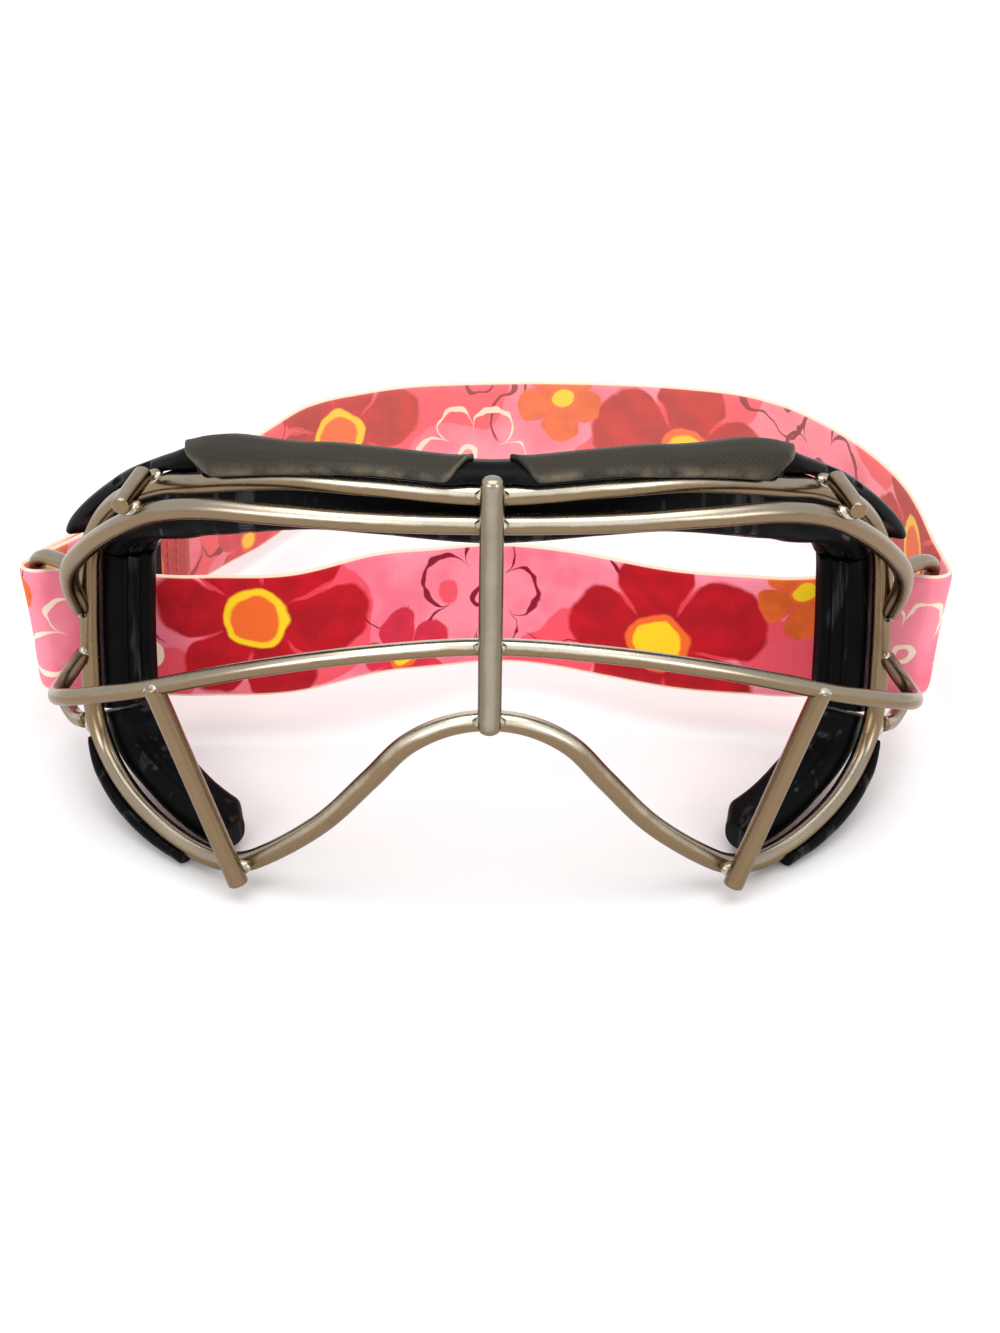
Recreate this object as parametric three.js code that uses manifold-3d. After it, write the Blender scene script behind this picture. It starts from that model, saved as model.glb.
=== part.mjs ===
// Lacrosse goggles: a bent and welded wire cage with a moulded brow guard, padding and an elastic strap.
// Millimetres, X to the right as seen from the front, Y back towards the wearer, Z up.
// The cage is laid out upright, with Y = 0 at the centre bar's axis and Z = 0 at the rim's lowest axis.
// It is then leaned back until the strap's far run lies on the table with the two cheek corners.
import * as THREE from "three";
import { mergeVertices } from "three/addons/utils/BufferGeometryUtils.js";
import Module from "manifold-3d";

const wasm = await Module();
wasm.setup();

const degrees = Math.PI / 180;

// Clearances between pieces
const seatGap = 0.3;
const strapGap = 0.4;
const mergeTolerance = 0.0005;

// Wire diameters
const rimWire = 4.0;
const upperWire = 3.9;
const middleWire = 3.3;
const centreWire = 4.4;
const cheekStrutWire = 4.0;
const browStrutWire = 3.0;
const loopWire = 3.2;

// Rim, measured on the wire's axis
const rimHalfWidth = 77.8;
const rimWrap = 45.5;
const rimHeight = 83.2;
const noseBridgeHeight = 38.6;

// Outer bars
const upperBarDrop = 5.6;
const upperBarHeight = rimHeight - upperBarDrop;
const upperOverhang = 2.8;
const upperWeldHeight = 0.495 * rimHeight;
const middleBarHeight = 0.645 * rimHeight;
const middleBarFall = 0.291 * rimHeight;
const middleOverhang = 5.2;
const middleWeldHeight = 0.371 * rimHeight;
const centreBarLift = 2.8;
const centreBarTop = rimHeight + centreBarLift;
const centreBarStop = 1.0;
const frontWeldAngle = 36 * degrees;

// Struts
const browStrutRimX = 0.8 * rimHalfWidth;
const browStrutBarX = 0.843 * rimHalfWidth;
const browStrutTopTail = 0.2;
const browStrutFootTail = 1.2;
const cheekStrutBarX = 0.802 * rimHalfWidth;
const cheekStrutRimX = 0.596 * rimHalfWidth;
const cheekStrutTail = 1.6;

// Strap loops
const loopReachOut = 9.6;
const loopReachBack = 17.5;
const loopOuterX = rimHalfWidth + loopReachOut;
const loopOuterY = rimWrap + loopReachBack;
const loopLean = 0.12;
const loopLowerDrop = 1.95;
const loopUpperLift = 4.45;
const loopStraightMargin = 2.0;
const loopBendDepth = 3.4;
const loopCornerDepth = 2.3;
const loopBendShare = 0.64;
const loopCornerShare = 0.22;
const backWeldAngle = 42 * degrees;

// The middle of the wearer's head, which the padding points at
const faceAxisY = 1.978 * rimWrap;

// Brow guard, a moulded band on the rim's top run
const guardEndHeight = 0.642 * rimHeight;
const guardLip = 2.3;
const guardSetBack = 0.8;
const guardTipLip = 2.4;
const guardStepX = 0.66 * rimHalfWidth;
const guardStepRun = 2.0;
const domeSetBack = 1.3;
const domeFlat = 3.4;
const guardRidge = 2.0;
const guardTipRidge = -1.2;
const guardDepth = 7.6;
const guardTipDepth = 2.2;
const guardFoot = 2.3;
const guardTipWidth = 2.4;
const guardRise = 8.8;
const guardBulge = 0.7;
const guardBackDrop = 1.6;
const guardTipFrom = 0.9 * rimHalfWidth;
const guardSmoothing = 0.03;
const guardLowShare = 0.25;
const guardHighShare = 0.7;
const guardLeanShare = 0.45;

// Brow inserts, thin plates on the guard's front
const insertInnerX = 3.6;
const insertInnerCutX = 7.1;
const insertCutX = 0.655 * rimHalfWidth;
const insertOuterX = 0.742 * rimHalfWidth;
const insertThickness = 1.2;
const insertMargin = 0.5;

// Padding behind the wires
const padStandoff = 0.6;
const browPadThickness = 11.0;
const browPadBelow = 11.5;
const browPadEndHeight = 0.642 * rimHeight;
const browPadTurnShare = 0.62;
const sidePadThickness = 11.2;
const sidePadFront = 3.2;
const sidePadBack = 5.4;
const sidePadTop = browPadEndHeight - 2 * seatGap;
const sidePadBottom = 0.2235 * rimHeight;
const sidePadRib = 0.8;
const ribCount = 3;
const ribCrestFrom = 0.3;
const ribCrestTo = 0.7;
const cheekPadThickness = 11.0;
const cheekPadInside = 6.6;
const cheekPadOutside = 0.6;
const cheekPadTop = sidePadBottom - 2.5 * seatGap;
const cheekPadTipX = 0.676 * rimHalfWidth;
const cheekPadTurnShare = 0.5;
const cheekTipShare = 0.8;
const cheekTipShrink = 0.3;
const padRounding = 2.4;

// Cheek trims, rubber edges outside the rim's lower corners
const trimWall = 1.6;
const trimTop = 0.1755 * rimHeight;
const trimEndX = 0.739 * rimHalfWidth;
const trimFrom = 20 * degrees;
const trimTo = 138 * degrees;
const trimStartShare = 0.45;
const trimFadeShare = 0.25;

// Strap
const strapWidth = 26.5;
const strapThickness = 1.6;
const strapLoopHeight = 0.374 * rimHeight;
const strapNearDip = 3.8;
const strapNearHeight = strapLoopHeight - strapNearDip;
const strapNearSag = 17.0;
const strapNearHalf = 0.745 * rimHalfWidth;
const strapNearAngle = 14 * degrees;
const strapNearTilt = 0.2;
const strapNearLift = 1.2;
const strapReach = 99.0;
const strapRightSlack = 0.6;
const overlapAngle = 57.7 * degrees;
const overlapLength = 69.0;
const tailLength = 50.0;
const outerTailStart = 6.0;
const foldRun = 18.0;
const strapEdge = 0.35;

// Slider
const sliderLength = 13.0;
const sliderBar = 3.4;
const sliderSheet = 1.8;
const sliderRail = 2.6;
const sliderPlace = 31.0;

// Posture on the table
const cageLean = 9.6 * degrees;

// Facets
const rimSides = 12;
const rimSteps = 112;
const wireSides = 10;
const barSteps = 66;
const strutSteps = 4;
const loopSteps = 26;
const endRings = 6;
const bisections = 40;
const cornerSteps = 3;
const turnSteps = 8;
const tailSteps = 8;
const nearSteps = 34;
const farSteps = 40;
const overlapSteps = 10;
const mostRounding = 0.45;

// Shares of the rim's half width, wrap and height, from the top's middle round to the cheek
const rimUpperShares = [
  [0, 0, 1],
  [0.283, 0.066, 1.006],
  [0.463, 0.187, 0.992],
  [0.694, 0.429, 0.932],
  [0.79, 0.582, 0.897],
  [0.913, 0.813, 0.791],
  [0.983, 0.967, 0.659],
  [0.997, 1, 0.514],
  [1, 1, 0.346],
  [0.994, 0.978, 0.226],
  [0.964, 0.901, 0.144],
  [0.9, 0.736, 0.081],
  [0.816, 0.582, 0.035],
  [0.733, 0.468, 0.007],
  [0.662, 0.385, 0],
];

// Shares of the rim's half width and wrap, and of the nose bridge's height, on to the bridge's middle
const rimNoseShares = [
  [0.598, 0.319, 0.031],
  [0.533, 0.266, 0.114],
  [0.398, 0.165, 0.35],
  [0.283, 0.09, 0.63],
  [0.193, 0.037, 0.85],
  [0.096, 0.009, 0.966],
  [0, 0, 1],
];

// Shares of a bar's half span, the rim's wrap and the bar's fall, from the middle to the turned end
const upperBarShares = [
  [0, 0, 0],
  [0.273, 0.031, 0.003],
  [0.496, 0.11, 0.008],
  [0.658, 0.215, 0.025],
  [0.763, 0.321, 0.083],
  [0.844, 0.435, 0.202],
  [0.931, 0.607, 0.418],
  [0.99, 0.787, 0.656],
  [1, 0.888, 0.839],
];
const middleBarShares = [
  [0, 0, 0],
  [0.265, 0.041, 0.1],
  [0.518, 0.135, 0.31],
  [0.663, 0.225, 0.485],
  [0.783, 0.326, 0.66],
  [0.892, 0.44, 0.81],
  [0.967, 0.55, 0.93],
  [1, 0.68, 1.03],
  [0.992, 0.81, 1.04],
];

// The guard's height above the rim, as shares of its full rise at shares of its half length
const guardRiseShares = [
  [0, 0.575],
  [0.07, 0.615],
  [0.13, 0.64],
  [0.24, 0.675],
  [0.33, 0.63],
  [0.385, 0.77],
  [0.44, 0.93],
  [0.49, 0.81],
  [0.6, 0.61],
  [0.7, 0.52],
  [0.8, 0.49],
  [0.9, 0.59],
  [1, 0.86],
];

// Levels of the insert's section, as shares of its height
const insertHeightShares = [0, 0.25, 0.5, 0.75, 1];

// Shares of the loops' half spacing and the near run's sag
const nearRunShares = [
  [-0.775, 0.09],
  [-0.64, 0.19],
  [-0.42, 0.18],
  [-0.19, 0.49],
  [0, 0.97],
  [0.16, 0.93],
  [0.43, 0.42],
  [0.64, 0.27],
  [0.775, 0.13],
];

// Shares of the loops' half spacing and the strap's reach behind them, from the right loop round the back
const farRunShares = [
  [1.035, 0.15],
  [1.01, 0.283],
  [0.968, 0.414],
  [0.902, 0.566],
  [0.791, 0.737],
  [0.658, 0.869],
  [0.498, 0.944],
  [0.288, 0.99],
  [0.055, 1],
  [-0.155, 0.975],
  [-0.31, 0.914],
  [-0.437, 0.828],
];

// Geometry to a solid and back
function solidOf(geometry) {
  const plain = geometry.index ? geometry.toNonIndexed() : geometry;
  const bare = new THREE.BufferGeometry();
  bare.setAttribute("position", plain.getAttribute("position"));
  const merged = mergeVertices(bare, mergeTolerance);
  const mesh = new wasm.Mesh({
    numProp: 3,
    vertProperties: merged.attributes.position.array,
    triVerts: new Uint32Array(merged.index.array),
  });
  return new wasm.Manifold(mesh);
}

function geometryOf(solid) {
  const mesh = solid.getMesh();
  const geometry = new THREE.BufferGeometry();
  geometry.setAttribute("position", new THREE.BufferAttribute(mesh.vertProperties, mesh.numProp));
  geometry.setIndex(new THREE.BufferAttribute(mesh.triVerts, 1));
  geometry.computeVertexNormals();
  return geometry;
}

// Reading a curve
function paramWhere(curve, axis, value, from, to) {
  const rising = curve.getPoint(to)[axis] > curve.getPoint(from)[axis];
  let low = from;
  let high = to;
  for (let step = 0; step < bisections; step += 1) {
    const middle = (low + high) / 2;
    if (curve.getPoint(middle)[axis] < value === rising) {
      low = middle;
    } else {
      high = middle;
    }
  }
  return (low + high) / 2;
}

function ramp(value, from, to) {
  return THREE.MathUtils.smoothstep(value, from, to);
}

// The value at a place in a table of [place, value] pairs
function tableValue(table, place) {
  const next = table.findIndex(([at]) => at >= place);
  if (next < 0) {
    return table[table.length - 1][1];
  }
  if (next === 0) {
    return table[0][1];
  }
  const [fromAt, fromValue] = table[next - 1];
  const [toAt, toValue] = table[next];
  return THREE.MathUtils.lerp(fromValue, toValue, (place - fromAt) / (toAt - fromAt));
}

function mirrored(points) {
  const other = points.slice(1).reverse();
  return [...other.map((point) => new THREE.Vector3(-point.x, point.y, point.z)), ...points];
}

function mirrorX(point) {
  return new THREE.Vector3(-point.x, point.y, point.z);
}

function mirrorCurve(curve) {
  return new THREE.LineCurve3(mirrorX(curve.v1), mirrorX(curve.v2));
}

// Wires
function circleShape(diameter, sides) {
  const points = [];
  for (let side = 0; side < sides; side += 1) {
    const angle = (side / sides) * 2 * Math.PI;
    points.push(new THREE.Vector2(Math.cos(angle), Math.sin(angle)).multiplyScalar(diameter / 2));
  }
  return new THREE.Shape(points);
}

// An open wire along a curve, with a ball end wherever it is cut and dressed
function wireSolid(curve, diameter, steps) {
  const tube = new THREE.ExtrudeGeometry(circleShape(diameter, wireSides), {
    steps,
    extrudePath: curve,
    bevelEnabled: false,
  });
  let wire = solidOf(tube);
  for (const end of [0, 1]) {
    const place = curve.getPoint(end);
    const ball = new THREE.SphereGeometry(diameter / 2, wireSides, endRings);
    wire = wire.add(solidOf(ball.translate(place.x, place.y, place.z)));
  }
  return wire;
}

function smoothCurve(points) {
  return new THREE.CatmullRomCurve3(points, false, "centripetal");
}

function sum(start, direction, distance) {
  return start.clone().addScaledVector(direction, distance);
}

// Rim: one closed ring
const frontSeat = (diameter) => centreWire / 2 + seatGap + diameter / 2;
const rimRight = [
  ...rimUpperShares.map(
    ([across, back, up]) =>
      new THREE.Vector3(across * rimHalfWidth, frontSeat(rimWire) + back * rimWrap, up * rimHeight),
  ),
  ...rimNoseShares.map(
    ([across, back, up]) =>
      new THREE.Vector3(across * rimHalfWidth, frontSeat(rimWire) + back * rimWrap, up * noseBridgeHeight),
  ),
];
const rimLeft = rimRight.slice(1, -1).reverse().map(mirrorX);
const rimPoints = [...rimRight, ...rimLeft];
const rimCurve = new THREE.CatmullRomCurve3(rimPoints, true, "centripetal");
const rimWidest = rimUpperShares.findIndex(([across]) => across === 1) / rimPoints.length;
const rimLowest = (rimUpperShares.length - 1) / rimPoints.length;
const rimNoseMiddle = 1 / 2;

const rimTopParam = (x) => paramWhere(rimCurve, "x", x, 0, rimWidest);
const rimSideParam = (height) => paramWhere(rimCurve, "z", height, 0, rimLowest);
const rimBottomParam = (x) => paramWhere(rimCurve, "x", x, rimWidest, rimNoseMiddle);
const rimSidePoint = (height) => rimCurve.getPoint(rimSideParam(height));

// The closed ring has no ends, so a tube geometry closes on itself
function mainRim() {
  return solidOf(new THREE.TubeGeometry(rimCurve, rimSteps, rimWire / 2, rimSides, true));
}

// A frame on the rim: out of the face, and away from the eye opening
function rimFrame(share) {
  const param = share < 0 ? 1 + share : share;
  const origin = rimCurve.getPoint(param);
  const along = rimCurve.getTangent(param);
  const out = new THREE.Vector3(origin.x, origin.y - faceAxisY, 0).normalize();
  out.addScaledVector(along, -out.dot(along)).normalize();
  const away = new THREE.Vector3().crossVectors(out, along);
  return { origin, out, away };
}

// Lofts: rings of points joined side by side, with a flat cap at each end
function loftSolid(rings, section) {
  const count = section.length;
  const positions = rings.flat().flatMap((point) => [point.x, point.y, point.z]);
  const indices = [];
  for (let ring = 0; ring + 1 < rings.length; ring += 1) {
    for (let side = 0; side < count; side += 1) {
      const here = ring * count + side;
      const beside = ring * count + ((side + 1) % count);
      indices.push(here, beside, beside + count, here, beside + count, here + count);
    }
  }
  const lastRing = (rings.length - 1) * count;
  const facing = THREE.ShapeUtils.isClockWise(section) ? -1 : 1;
  for (const [a, b, c] of THREE.ShapeUtils.triangulateShape(section, [])) {
    const [second, third] = facing > 0 ? [c, b] : [b, c];
    indices.push(a, second, third);
    indices.push(lastRing + a, lastRing + third, lastRing + second);
  }
  const geometry = new THREE.BufferGeometry();
  geometry.setAttribute("position", new THREE.Float32BufferAttribute(positions, 3));
  const turned = facing > 0 ? indices : indices.map((_, at) => indices[at - (at % 3) + [0, 2, 1][at % 3]]);
  geometry.setIndex(turned);
  const solid = solidOf(geometry);
  if (solid.volume() > 0) {
    return solid;
  }
  geometry.setIndex(turned.map((_, at) => turned[at - (at % 3) + [0, 2, 1][at % 3]]));
  return solidOf(geometry);
}

// A band that follows the rim between two shares of its length, with a section for each station
function rimBand(from, to, stations, sectionAt) {
  const rings = [];
  for (let station = 0; station <= stations; station += 1) {
    const progress = station / stations;
    const frame = rimFrame(THREE.MathUtils.lerp(from, to, progress));
    const ring = sectionAt(progress, frame).map((point) =>
      sum(sum(frame.origin, frame.out, point.x), frame.away, point.y),
    );
    rings.push(ring);
  }
  return loftSolid(rings, sectionAt(1 / 2, rimFrame((from + to) / 2)));
}

// A box section with rounded corners
function roundedSection(left, right, low, high, rounding) {
  const round = Math.min(rounding, mostRounding * (right - left), mostRounding * (high - low));
  const corners = [
    [right - round, high - round, 0],
    [left + round, high - round, 90 * degrees],
    [left + round, low + round, 180 * degrees],
    [right - round, low + round, 270 * degrees],
  ];
  return corners.flatMap(([x, y, start]) =>
    Array.from({ length: cornerSteps + 1 }, (_, step) => {
      const angle = start + (step / cornerSteps) * 90 * degrees;
      return new THREE.Vector2(x + round * Math.cos(angle), y + round * Math.sin(angle));
    }),
  );
}

// Outer bars
function barCurve(shares, halfSpan, height, fall, diameter, weldHeight) {
  const points = shares.map(
    ([across, back, down]) =>
      new THREE.Vector3(across * halfSpan, frontSeat(diameter) + back * rimWrap, height - down * fall),
  );
  const outward = new THREE.Vector3(Math.cos(frontWeldAngle), -Math.sin(frontWeldAngle), 0);
  const weld = sum(rimSidePoint(weldHeight), outward, rimWire / 2 + seatGap + diameter / 2);
  return smoothCurve(mirrored([...points, weld]));
}

const upperCurve = barCurve(
  upperBarShares,
  rimHalfWidth + upperOverhang,
  upperBarHeight,
  upperBarHeight - upperWeldHeight,
  upperWire,
  upperWeldHeight,
);
const middleCurve = barCurve(
  middleBarShares,
  rimHalfWidth + middleOverhang,
  middleBarHeight,
  middleBarFall,
  middleWire,
  middleWeldHeight,
);
const barMiddle = 1 / 2;
const barTurn = 0.85;
const barParam = (curve, x) => paramWhere(curve, "x", x, barMiddle, barTurn);

const centreCurve = new THREE.LineCurve3(
  new THREE.Vector3(0, 0, centreBarTop),
  new THREE.Vector3(0, 0, noseBridgeHeight + centreBarStop),
);

// A straight strut laid across two wires, on their front or top, and run on past them by its tails
function strutAcross(from, to, diameter, tails) {
  const direction = new THREE.Vector3().subVectors(to.point, from.point).normalize();
  const seats = [from, to].map(({ point, along, wire, side }) => {
    const normal = new THREE.Vector3().crossVectors(along, direction).normalize();
    const outward = normal.dot(side) < 0 ? -1 : 1;
    return sum(point, normal, outward * ((wire + diameter) / 2 + seatGap));
  });
  const along = new THREE.Vector3().subVectors(seats[1], seats[0]).normalize();
  return new THREE.LineCurve3(sum(seats[0], along, -tails[0]), sum(seats[1], along, tails[1]));
}

function wirePlace(curve, param, wire, side) {
  return { point: curve.getPoint(param), along: curve.getTangent(param), wire, side };
}

function browStrutCurve() {
  const side = new THREE.Vector3(0, -1, 1);
  return strutAcross(
    wirePlace(rimCurve, rimTopParam(browStrutRimX), rimWire, side),
    wirePlace(upperCurve, barParam(upperCurve, browStrutBarX), upperWire, side),
    browStrutWire,
    [browStrutTopTail, browStrutFootTail],
  );
}

function cheekStrutCurve() {
  const side = new THREE.Vector3(0, -1, 0);
  return strutAcross(
    wirePlace(middleCurve, barParam(middleCurve, cheekStrutBarX), middleWire, side),
    wirePlace(rimCurve, rimBottomParam(cheekStrutRimX), rimWire, side),
    cheekStrutWire,
    [0, cheekStrutTail],
  );
}

// Strap loops
const strapFoot = strapLoopHeight - strapWidth / 2;
const strapHead = strapLoopHeight + strapWidth / 2;

function loopCurve() {
  const backward = new THREE.Vector3(Math.cos(backWeldAngle), Math.sin(backWeldAngle), 0);
  const standoff = (rimWire + loopWire) / 2 + seatGap;
  const low = sum(rimSidePoint(strapFoot - loopLowerDrop), backward, standoff);
  const high = sum(rimSidePoint(strapHead + loopUpperLift), backward, standoff);
  const outer = (height) =>
    new THREE.Vector3(loopOuterX + loopLean * (height - strapLoopHeight), loopOuterY, height);
  const footBend = outer(strapFoot - strapGap);
  const headBend = outer(strapHead + strapGap);
  const inward = (from, weld, share, rise) => {
    const point = from.clone().lerp(weld, share);
    point.z = from.z + rise;
    return point;
  };
  return smoothCurve([
    low,
    inward(footBend, low, loopBendShare, -loopBendDepth),
    inward(footBend, low, loopCornerShare, -loopCornerDepth),
    footBend,
    outer(strapFoot + loopStraightMargin),
    outer(strapLoopHeight),
    outer(strapHead - loopStraightMargin),
    headBend,
    inward(headBend, high, loopCornerShare, loopCornerDepth),
    inward(headBend, high, loopBendShare, loopBendDepth),
    high,
  ]);
}

// Brow guard
const guardEnd = rimSideParam(guardEndHeight);
const guardShareAt = (x) => rimTopParam(x) / guardEnd;

function guardRiseAt(place) {
  const places = [place - guardSmoothing, place, place + guardSmoothing];
  const shares = places.map((at) => tableValue(guardRiseShares, Math.min(at, 1)));
  return (guardRise * (shares[0] + shares[1] + shares[2])) / shares.length;
}

// The section's front face, from the lip at the wire up to the ridge
function guardFront(lip, foot, ridge, rise) {
  return [
    new THREE.Vector2(lip, foot),
    new THREE.Vector2(lip + guardBulge / 2, THREE.MathUtils.lerp(foot, rise, guardLowShare)),
    new THREE.Vector2(
      THREE.MathUtils.lerp(lip, -ridge, guardLeanShare) + guardBulge,
      THREE.MathUtils.lerp(foot, rise, guardHighShare),
    ),
    new THREE.Vector2(-ridge, rise),
  ];
}

function guardSection(progress) {
  const place = Math.abs(2 * progress - 1);
  const toTip = ramp(place, guardShareAt(guardTipFrom), 1);
  const toRecess = ramp(place, guardShareAt(guardStepX), guardShareAt(guardStepX + guardStepRun));
  const rise = guardRiseAt(place);
  const ridge = THREE.MathUtils.lerp(guardRidge, guardTipRidge, toTip);
  const depth = THREE.MathUtils.lerp(guardDepth, guardTipDepth, toTip);
  const toDome = 1 - ramp(place, guardShareAt(domeFlat), guardShareAt(insertInnerCutX));
  const plainLip = guardLip - domeSetBack * toDome;
  const lip = plainLip - (guardLip + guardSetBack) * toRecess + (guardTipLip + guardSetBack) * toTip;
  const foot = THREE.MathUtils.lerp(guardFoot, rise - guardTipWidth, toTip ** 3);
  return [
    ...guardFront(lip, foot, ridge, rise),
    new THREE.Vector2(-(ridge + depth) / 2, rise - guardBackDrop / 4),
    new THREE.Vector2(-depth, rise - guardBackDrop),
    new THREE.Vector2(-depth, foot + guardBulge / 2),
    new THREE.Vector2(guardBulge / 2 - depth, foot),
  ];
}

function browGuard() {
  const stations = 60;
  const band = rimBand(-guardEnd, guardEnd, stations, guardSection);
  const channel = new THREE.TubeGeometry(rimCurve, rimSteps, rimWire / 2 + seatGap, rimSides, true);
  const strut = browStrutCurve();
  const cutters = [
    solidOf(channel),
    wireSolid(centreCurve, centreWire + 2 * seatGap, strutSteps),
    ...[strut, mirrorCurve(strut)].map((curve) => wireSolid(curve, browStrutWire + 2 * seatGap, strutSteps)),
  ];
  return cutters.reduce((left, cutter) => left.subtract(cutter), band);
}

// Brow insert, on the right half, with both ends cut on a slant
function browInsert() {
  const from = rimTopParam(insertInnerX);
  const innerCut = rimTopParam(insertInnerCutX);
  const cut = rimTopParam(insertCutX);
  const to = rimTopParam(insertOuterX);
  const stations = 24;
  return rimBand(from, to, stations, (progress) => {
    const share = THREE.MathUtils.lerp(from, to, progress);
    const rise = guardRiseAt(share / guardEnd);
    const front = guardFront(guardLip, guardFoot, guardRidge, rise);
    const slants = [(share - cut) / (to - cut), (innerCut - share) / (innerCut - from), 0];
    const slant = Math.min(Math.max(...slants), 1);
    const high = rise - insertMargin;
    const low = THREE.MathUtils.lerp(guardFoot, high - insertMargin, slant);
    const heights = insertHeightShares.map((part) => THREE.MathUtils.lerp(low, high, part));
    const back = (height) => {
      const next = Math.max(1, front.findIndex((point) => point.y >= height));
      const [lower, upper] = [front[next - 1], front[next]];
      return seatGap + THREE.MathUtils.mapLinear(height, lower.y, upper.y, lower.x, upper.x);
    };
    const behind = heights.map((height) => new THREE.Vector2(back(height), height)).reverse();
    const face = heights.map((height) => new THREE.Vector2(back(height) + insertThickness, height));
    return [...face, ...behind];
  });
}

// Padding
const padFront = -(rimWire / 2 + padStandoff);

function browPad() {
  const end = rimSideParam(browPadEndHeight);
  const stations = 40;
  return rimBand(-end, end, stations, (progress) => {
    const place = Math.abs(2 * progress - 1);
    const toSide = ramp(place, browPadTurnShare, 1);
    const below = THREE.MathUtils.lerp(browPadBelow, sidePadFront, toSide);
    const thickness = THREE.MathUtils.lerp(browPadThickness, sidePadThickness, toSide);
    const above = guardFoot - seatGap;
    return roundedSection(padFront - thickness, padFront, -below, above, padRounding);
  });
}

// The side pad's front face has ribs down its length
function sidePad() {
  const stations = 16;
  const outline = roundedSection(padFront - sidePadThickness, padFront, -sidePadFront, sidePadBack, padRounding);
  const ribPitch = (sidePadThickness - 2 * padRounding) / ribCount;
  const ribs = Array.from({ length: ribCount }, (_, rib) => {
    const place = (part) => padFront - sidePadThickness + padRounding + (rib + part) * ribPitch;
    return [
      new THREE.Vector2(place(0), -sidePadFront),
      new THREE.Vector2(place(ribCrestFrom), -sidePadFront - sidePadRib),
      new THREE.Vector2(place(ribCrestTo), -sidePadFront - sidePadRib),
    ];
  });
  const threeCorners = 3 * (cornerSteps + 1);
  const section = [...outline.slice(0, threeCorners), ...ribs.flat().slice(1), ...outline.slice(threeCorners)];
  return rimBand(rimSideParam(sidePadTop), rimSideParam(sidePadBottom), stations, () => section);
}

function cheekPad() {
  const stations = 20;
  const from = rimSideParam(cheekPadTop);
  const to = rimBottomParam(cheekPadTipX);
  return rimBand(from, to, stations, (progress) => {
    const toCheek = ramp(progress, 0, cheekPadTurnShare);
    const tip = 1 - cheekTipShrink * ramp(progress, cheekTipShare, 1);
    const inside = THREE.MathUtils.lerp(sidePadFront, cheekPadInside, toCheek) * tip;
    const outside = THREE.MathUtils.lerp(sidePadBack, cheekPadOutside, toCheek);
    const thickness = THREE.MathUtils.lerp(sidePadThickness, cheekPadThickness, toCheek);
    return roundedSection(padFront - thickness * tip, padFront, -inside, outside, padRounding);
  });
}

// Cheek trim: a crescent round the outside of the wire
function cheekTrim() {
  const stations = 18;
  const arcSteps = 6;
  const from = rimSideParam(trimTop);
  const to = rimBottomParam(trimEndX);
  return rimBand(from, to, stations, (progress) => {
    const fade = THREE.MathUtils.lerp(trimStartShare, 1, ramp(progress, 0, trimFadeShare));
    const inner = rimWire / 2 + seatGap;
    const outer = inner + trimWall * fade;
    const arc = (radius) =>
      Array.from({ length: arcSteps + 1 }, (_, step) => {
        const angle = THREE.MathUtils.lerp(trimFrom, trimTo, step / arcSteps);
        return new THREE.Vector2(Math.cos(angle), Math.sin(angle)).multiplyScalar(radius);
      });
    return [...arc(outer), ...arc(inner).reverse()];
  });
}

// Strap: one band whose two ends overlap behind the left loop
const wrapRadius = loopWire / 2 + strapGap + strapThickness / 2;
const layerStep = strapThickness + strapGap;
const overlapDirection = new THREE.Vector2(Math.cos(overlapAngle), Math.sin(overlapAngle));
const overlapNormal = new THREE.Vector2(-overlapDirection.y, overlapDirection.x);
const leftWire = new THREE.Vector2(-loopOuterX, loopOuterY);
const rightWire = new THREE.Vector2(loopOuterX, loopOuterY);
const overlapStart = leftWire.clone().addScaledVector(overlapNormal, wrapRadius);

function arcPoints(centre, radius, from, to, steps) {
  return Array.from({ length: steps + 1 }, (_, step) => {
    const angle = THREE.MathUtils.lerp(from, to, step / steps);
    return new THREE.Vector2(Math.cos(angle), Math.sin(angle)).multiplyScalar(radius).add(centre);
  });
}

function linePoints(start, direction, from, to, steps) {
  return Array.from({ length: steps + 1 }, (_, step) =>
    start.clone().addScaledVector(direction, THREE.MathUtils.lerp(from, to, step / steps)),
  );
}

// Height of the table in the upright cage, which leans back on its two cheek corners
const footPoint = rimCurve.getPoint(rimBottomParam((cheekPadTipX + trimEndX) / 2));
const footHeight = footPoint.z - (rimWire / 2 + seatGap + trimWall);
const tableHeight = (y) => footHeight + (y - footPoint.y) * Math.tan(cageLean);
const strapFarY = loopOuterY + strapReach;
const strapFarHeight = tableHeight(strapFarY + strapThickness / 2) + strapWidth / 2;
const strapRise = strapFarHeight - strapLoopHeight;
const heightBehindLoops = (y) => strapLoopHeight + (strapRise * (y - loopOuterY)) / strapReach;

// The near run dips a little between the loops, tips forward in its middle, and leans in its folds
function nearStation(point) {
  const toLoop = ramp(Math.abs(point.x), strapNearHalf, loopOuterX - wrapRadius);
  const toMiddle = 1 - ramp(Math.abs(point.x), 0, strapNearHalf);
  const height = THREE.MathUtils.lerp(strapNearHeight, strapLoopHeight, toLoop) + strapNearLift * toMiddle;
  return { point, height, lean: Math.sign(point.x) * loopLean * toLoop, tilt: strapNearTilt * toMiddle };
}

// Behind the loops the band rises to the far run's height, upright once it is clear of the folds
function farStation(point) {
  const upright = ramp(point.y, loopOuterY, loopOuterY + foldRun);
  return { point, height: heightBehindLoops(point.y), lean: Math.sign(point.x) * loopLean * (1 - upright), tilt: 0 };
}

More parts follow.
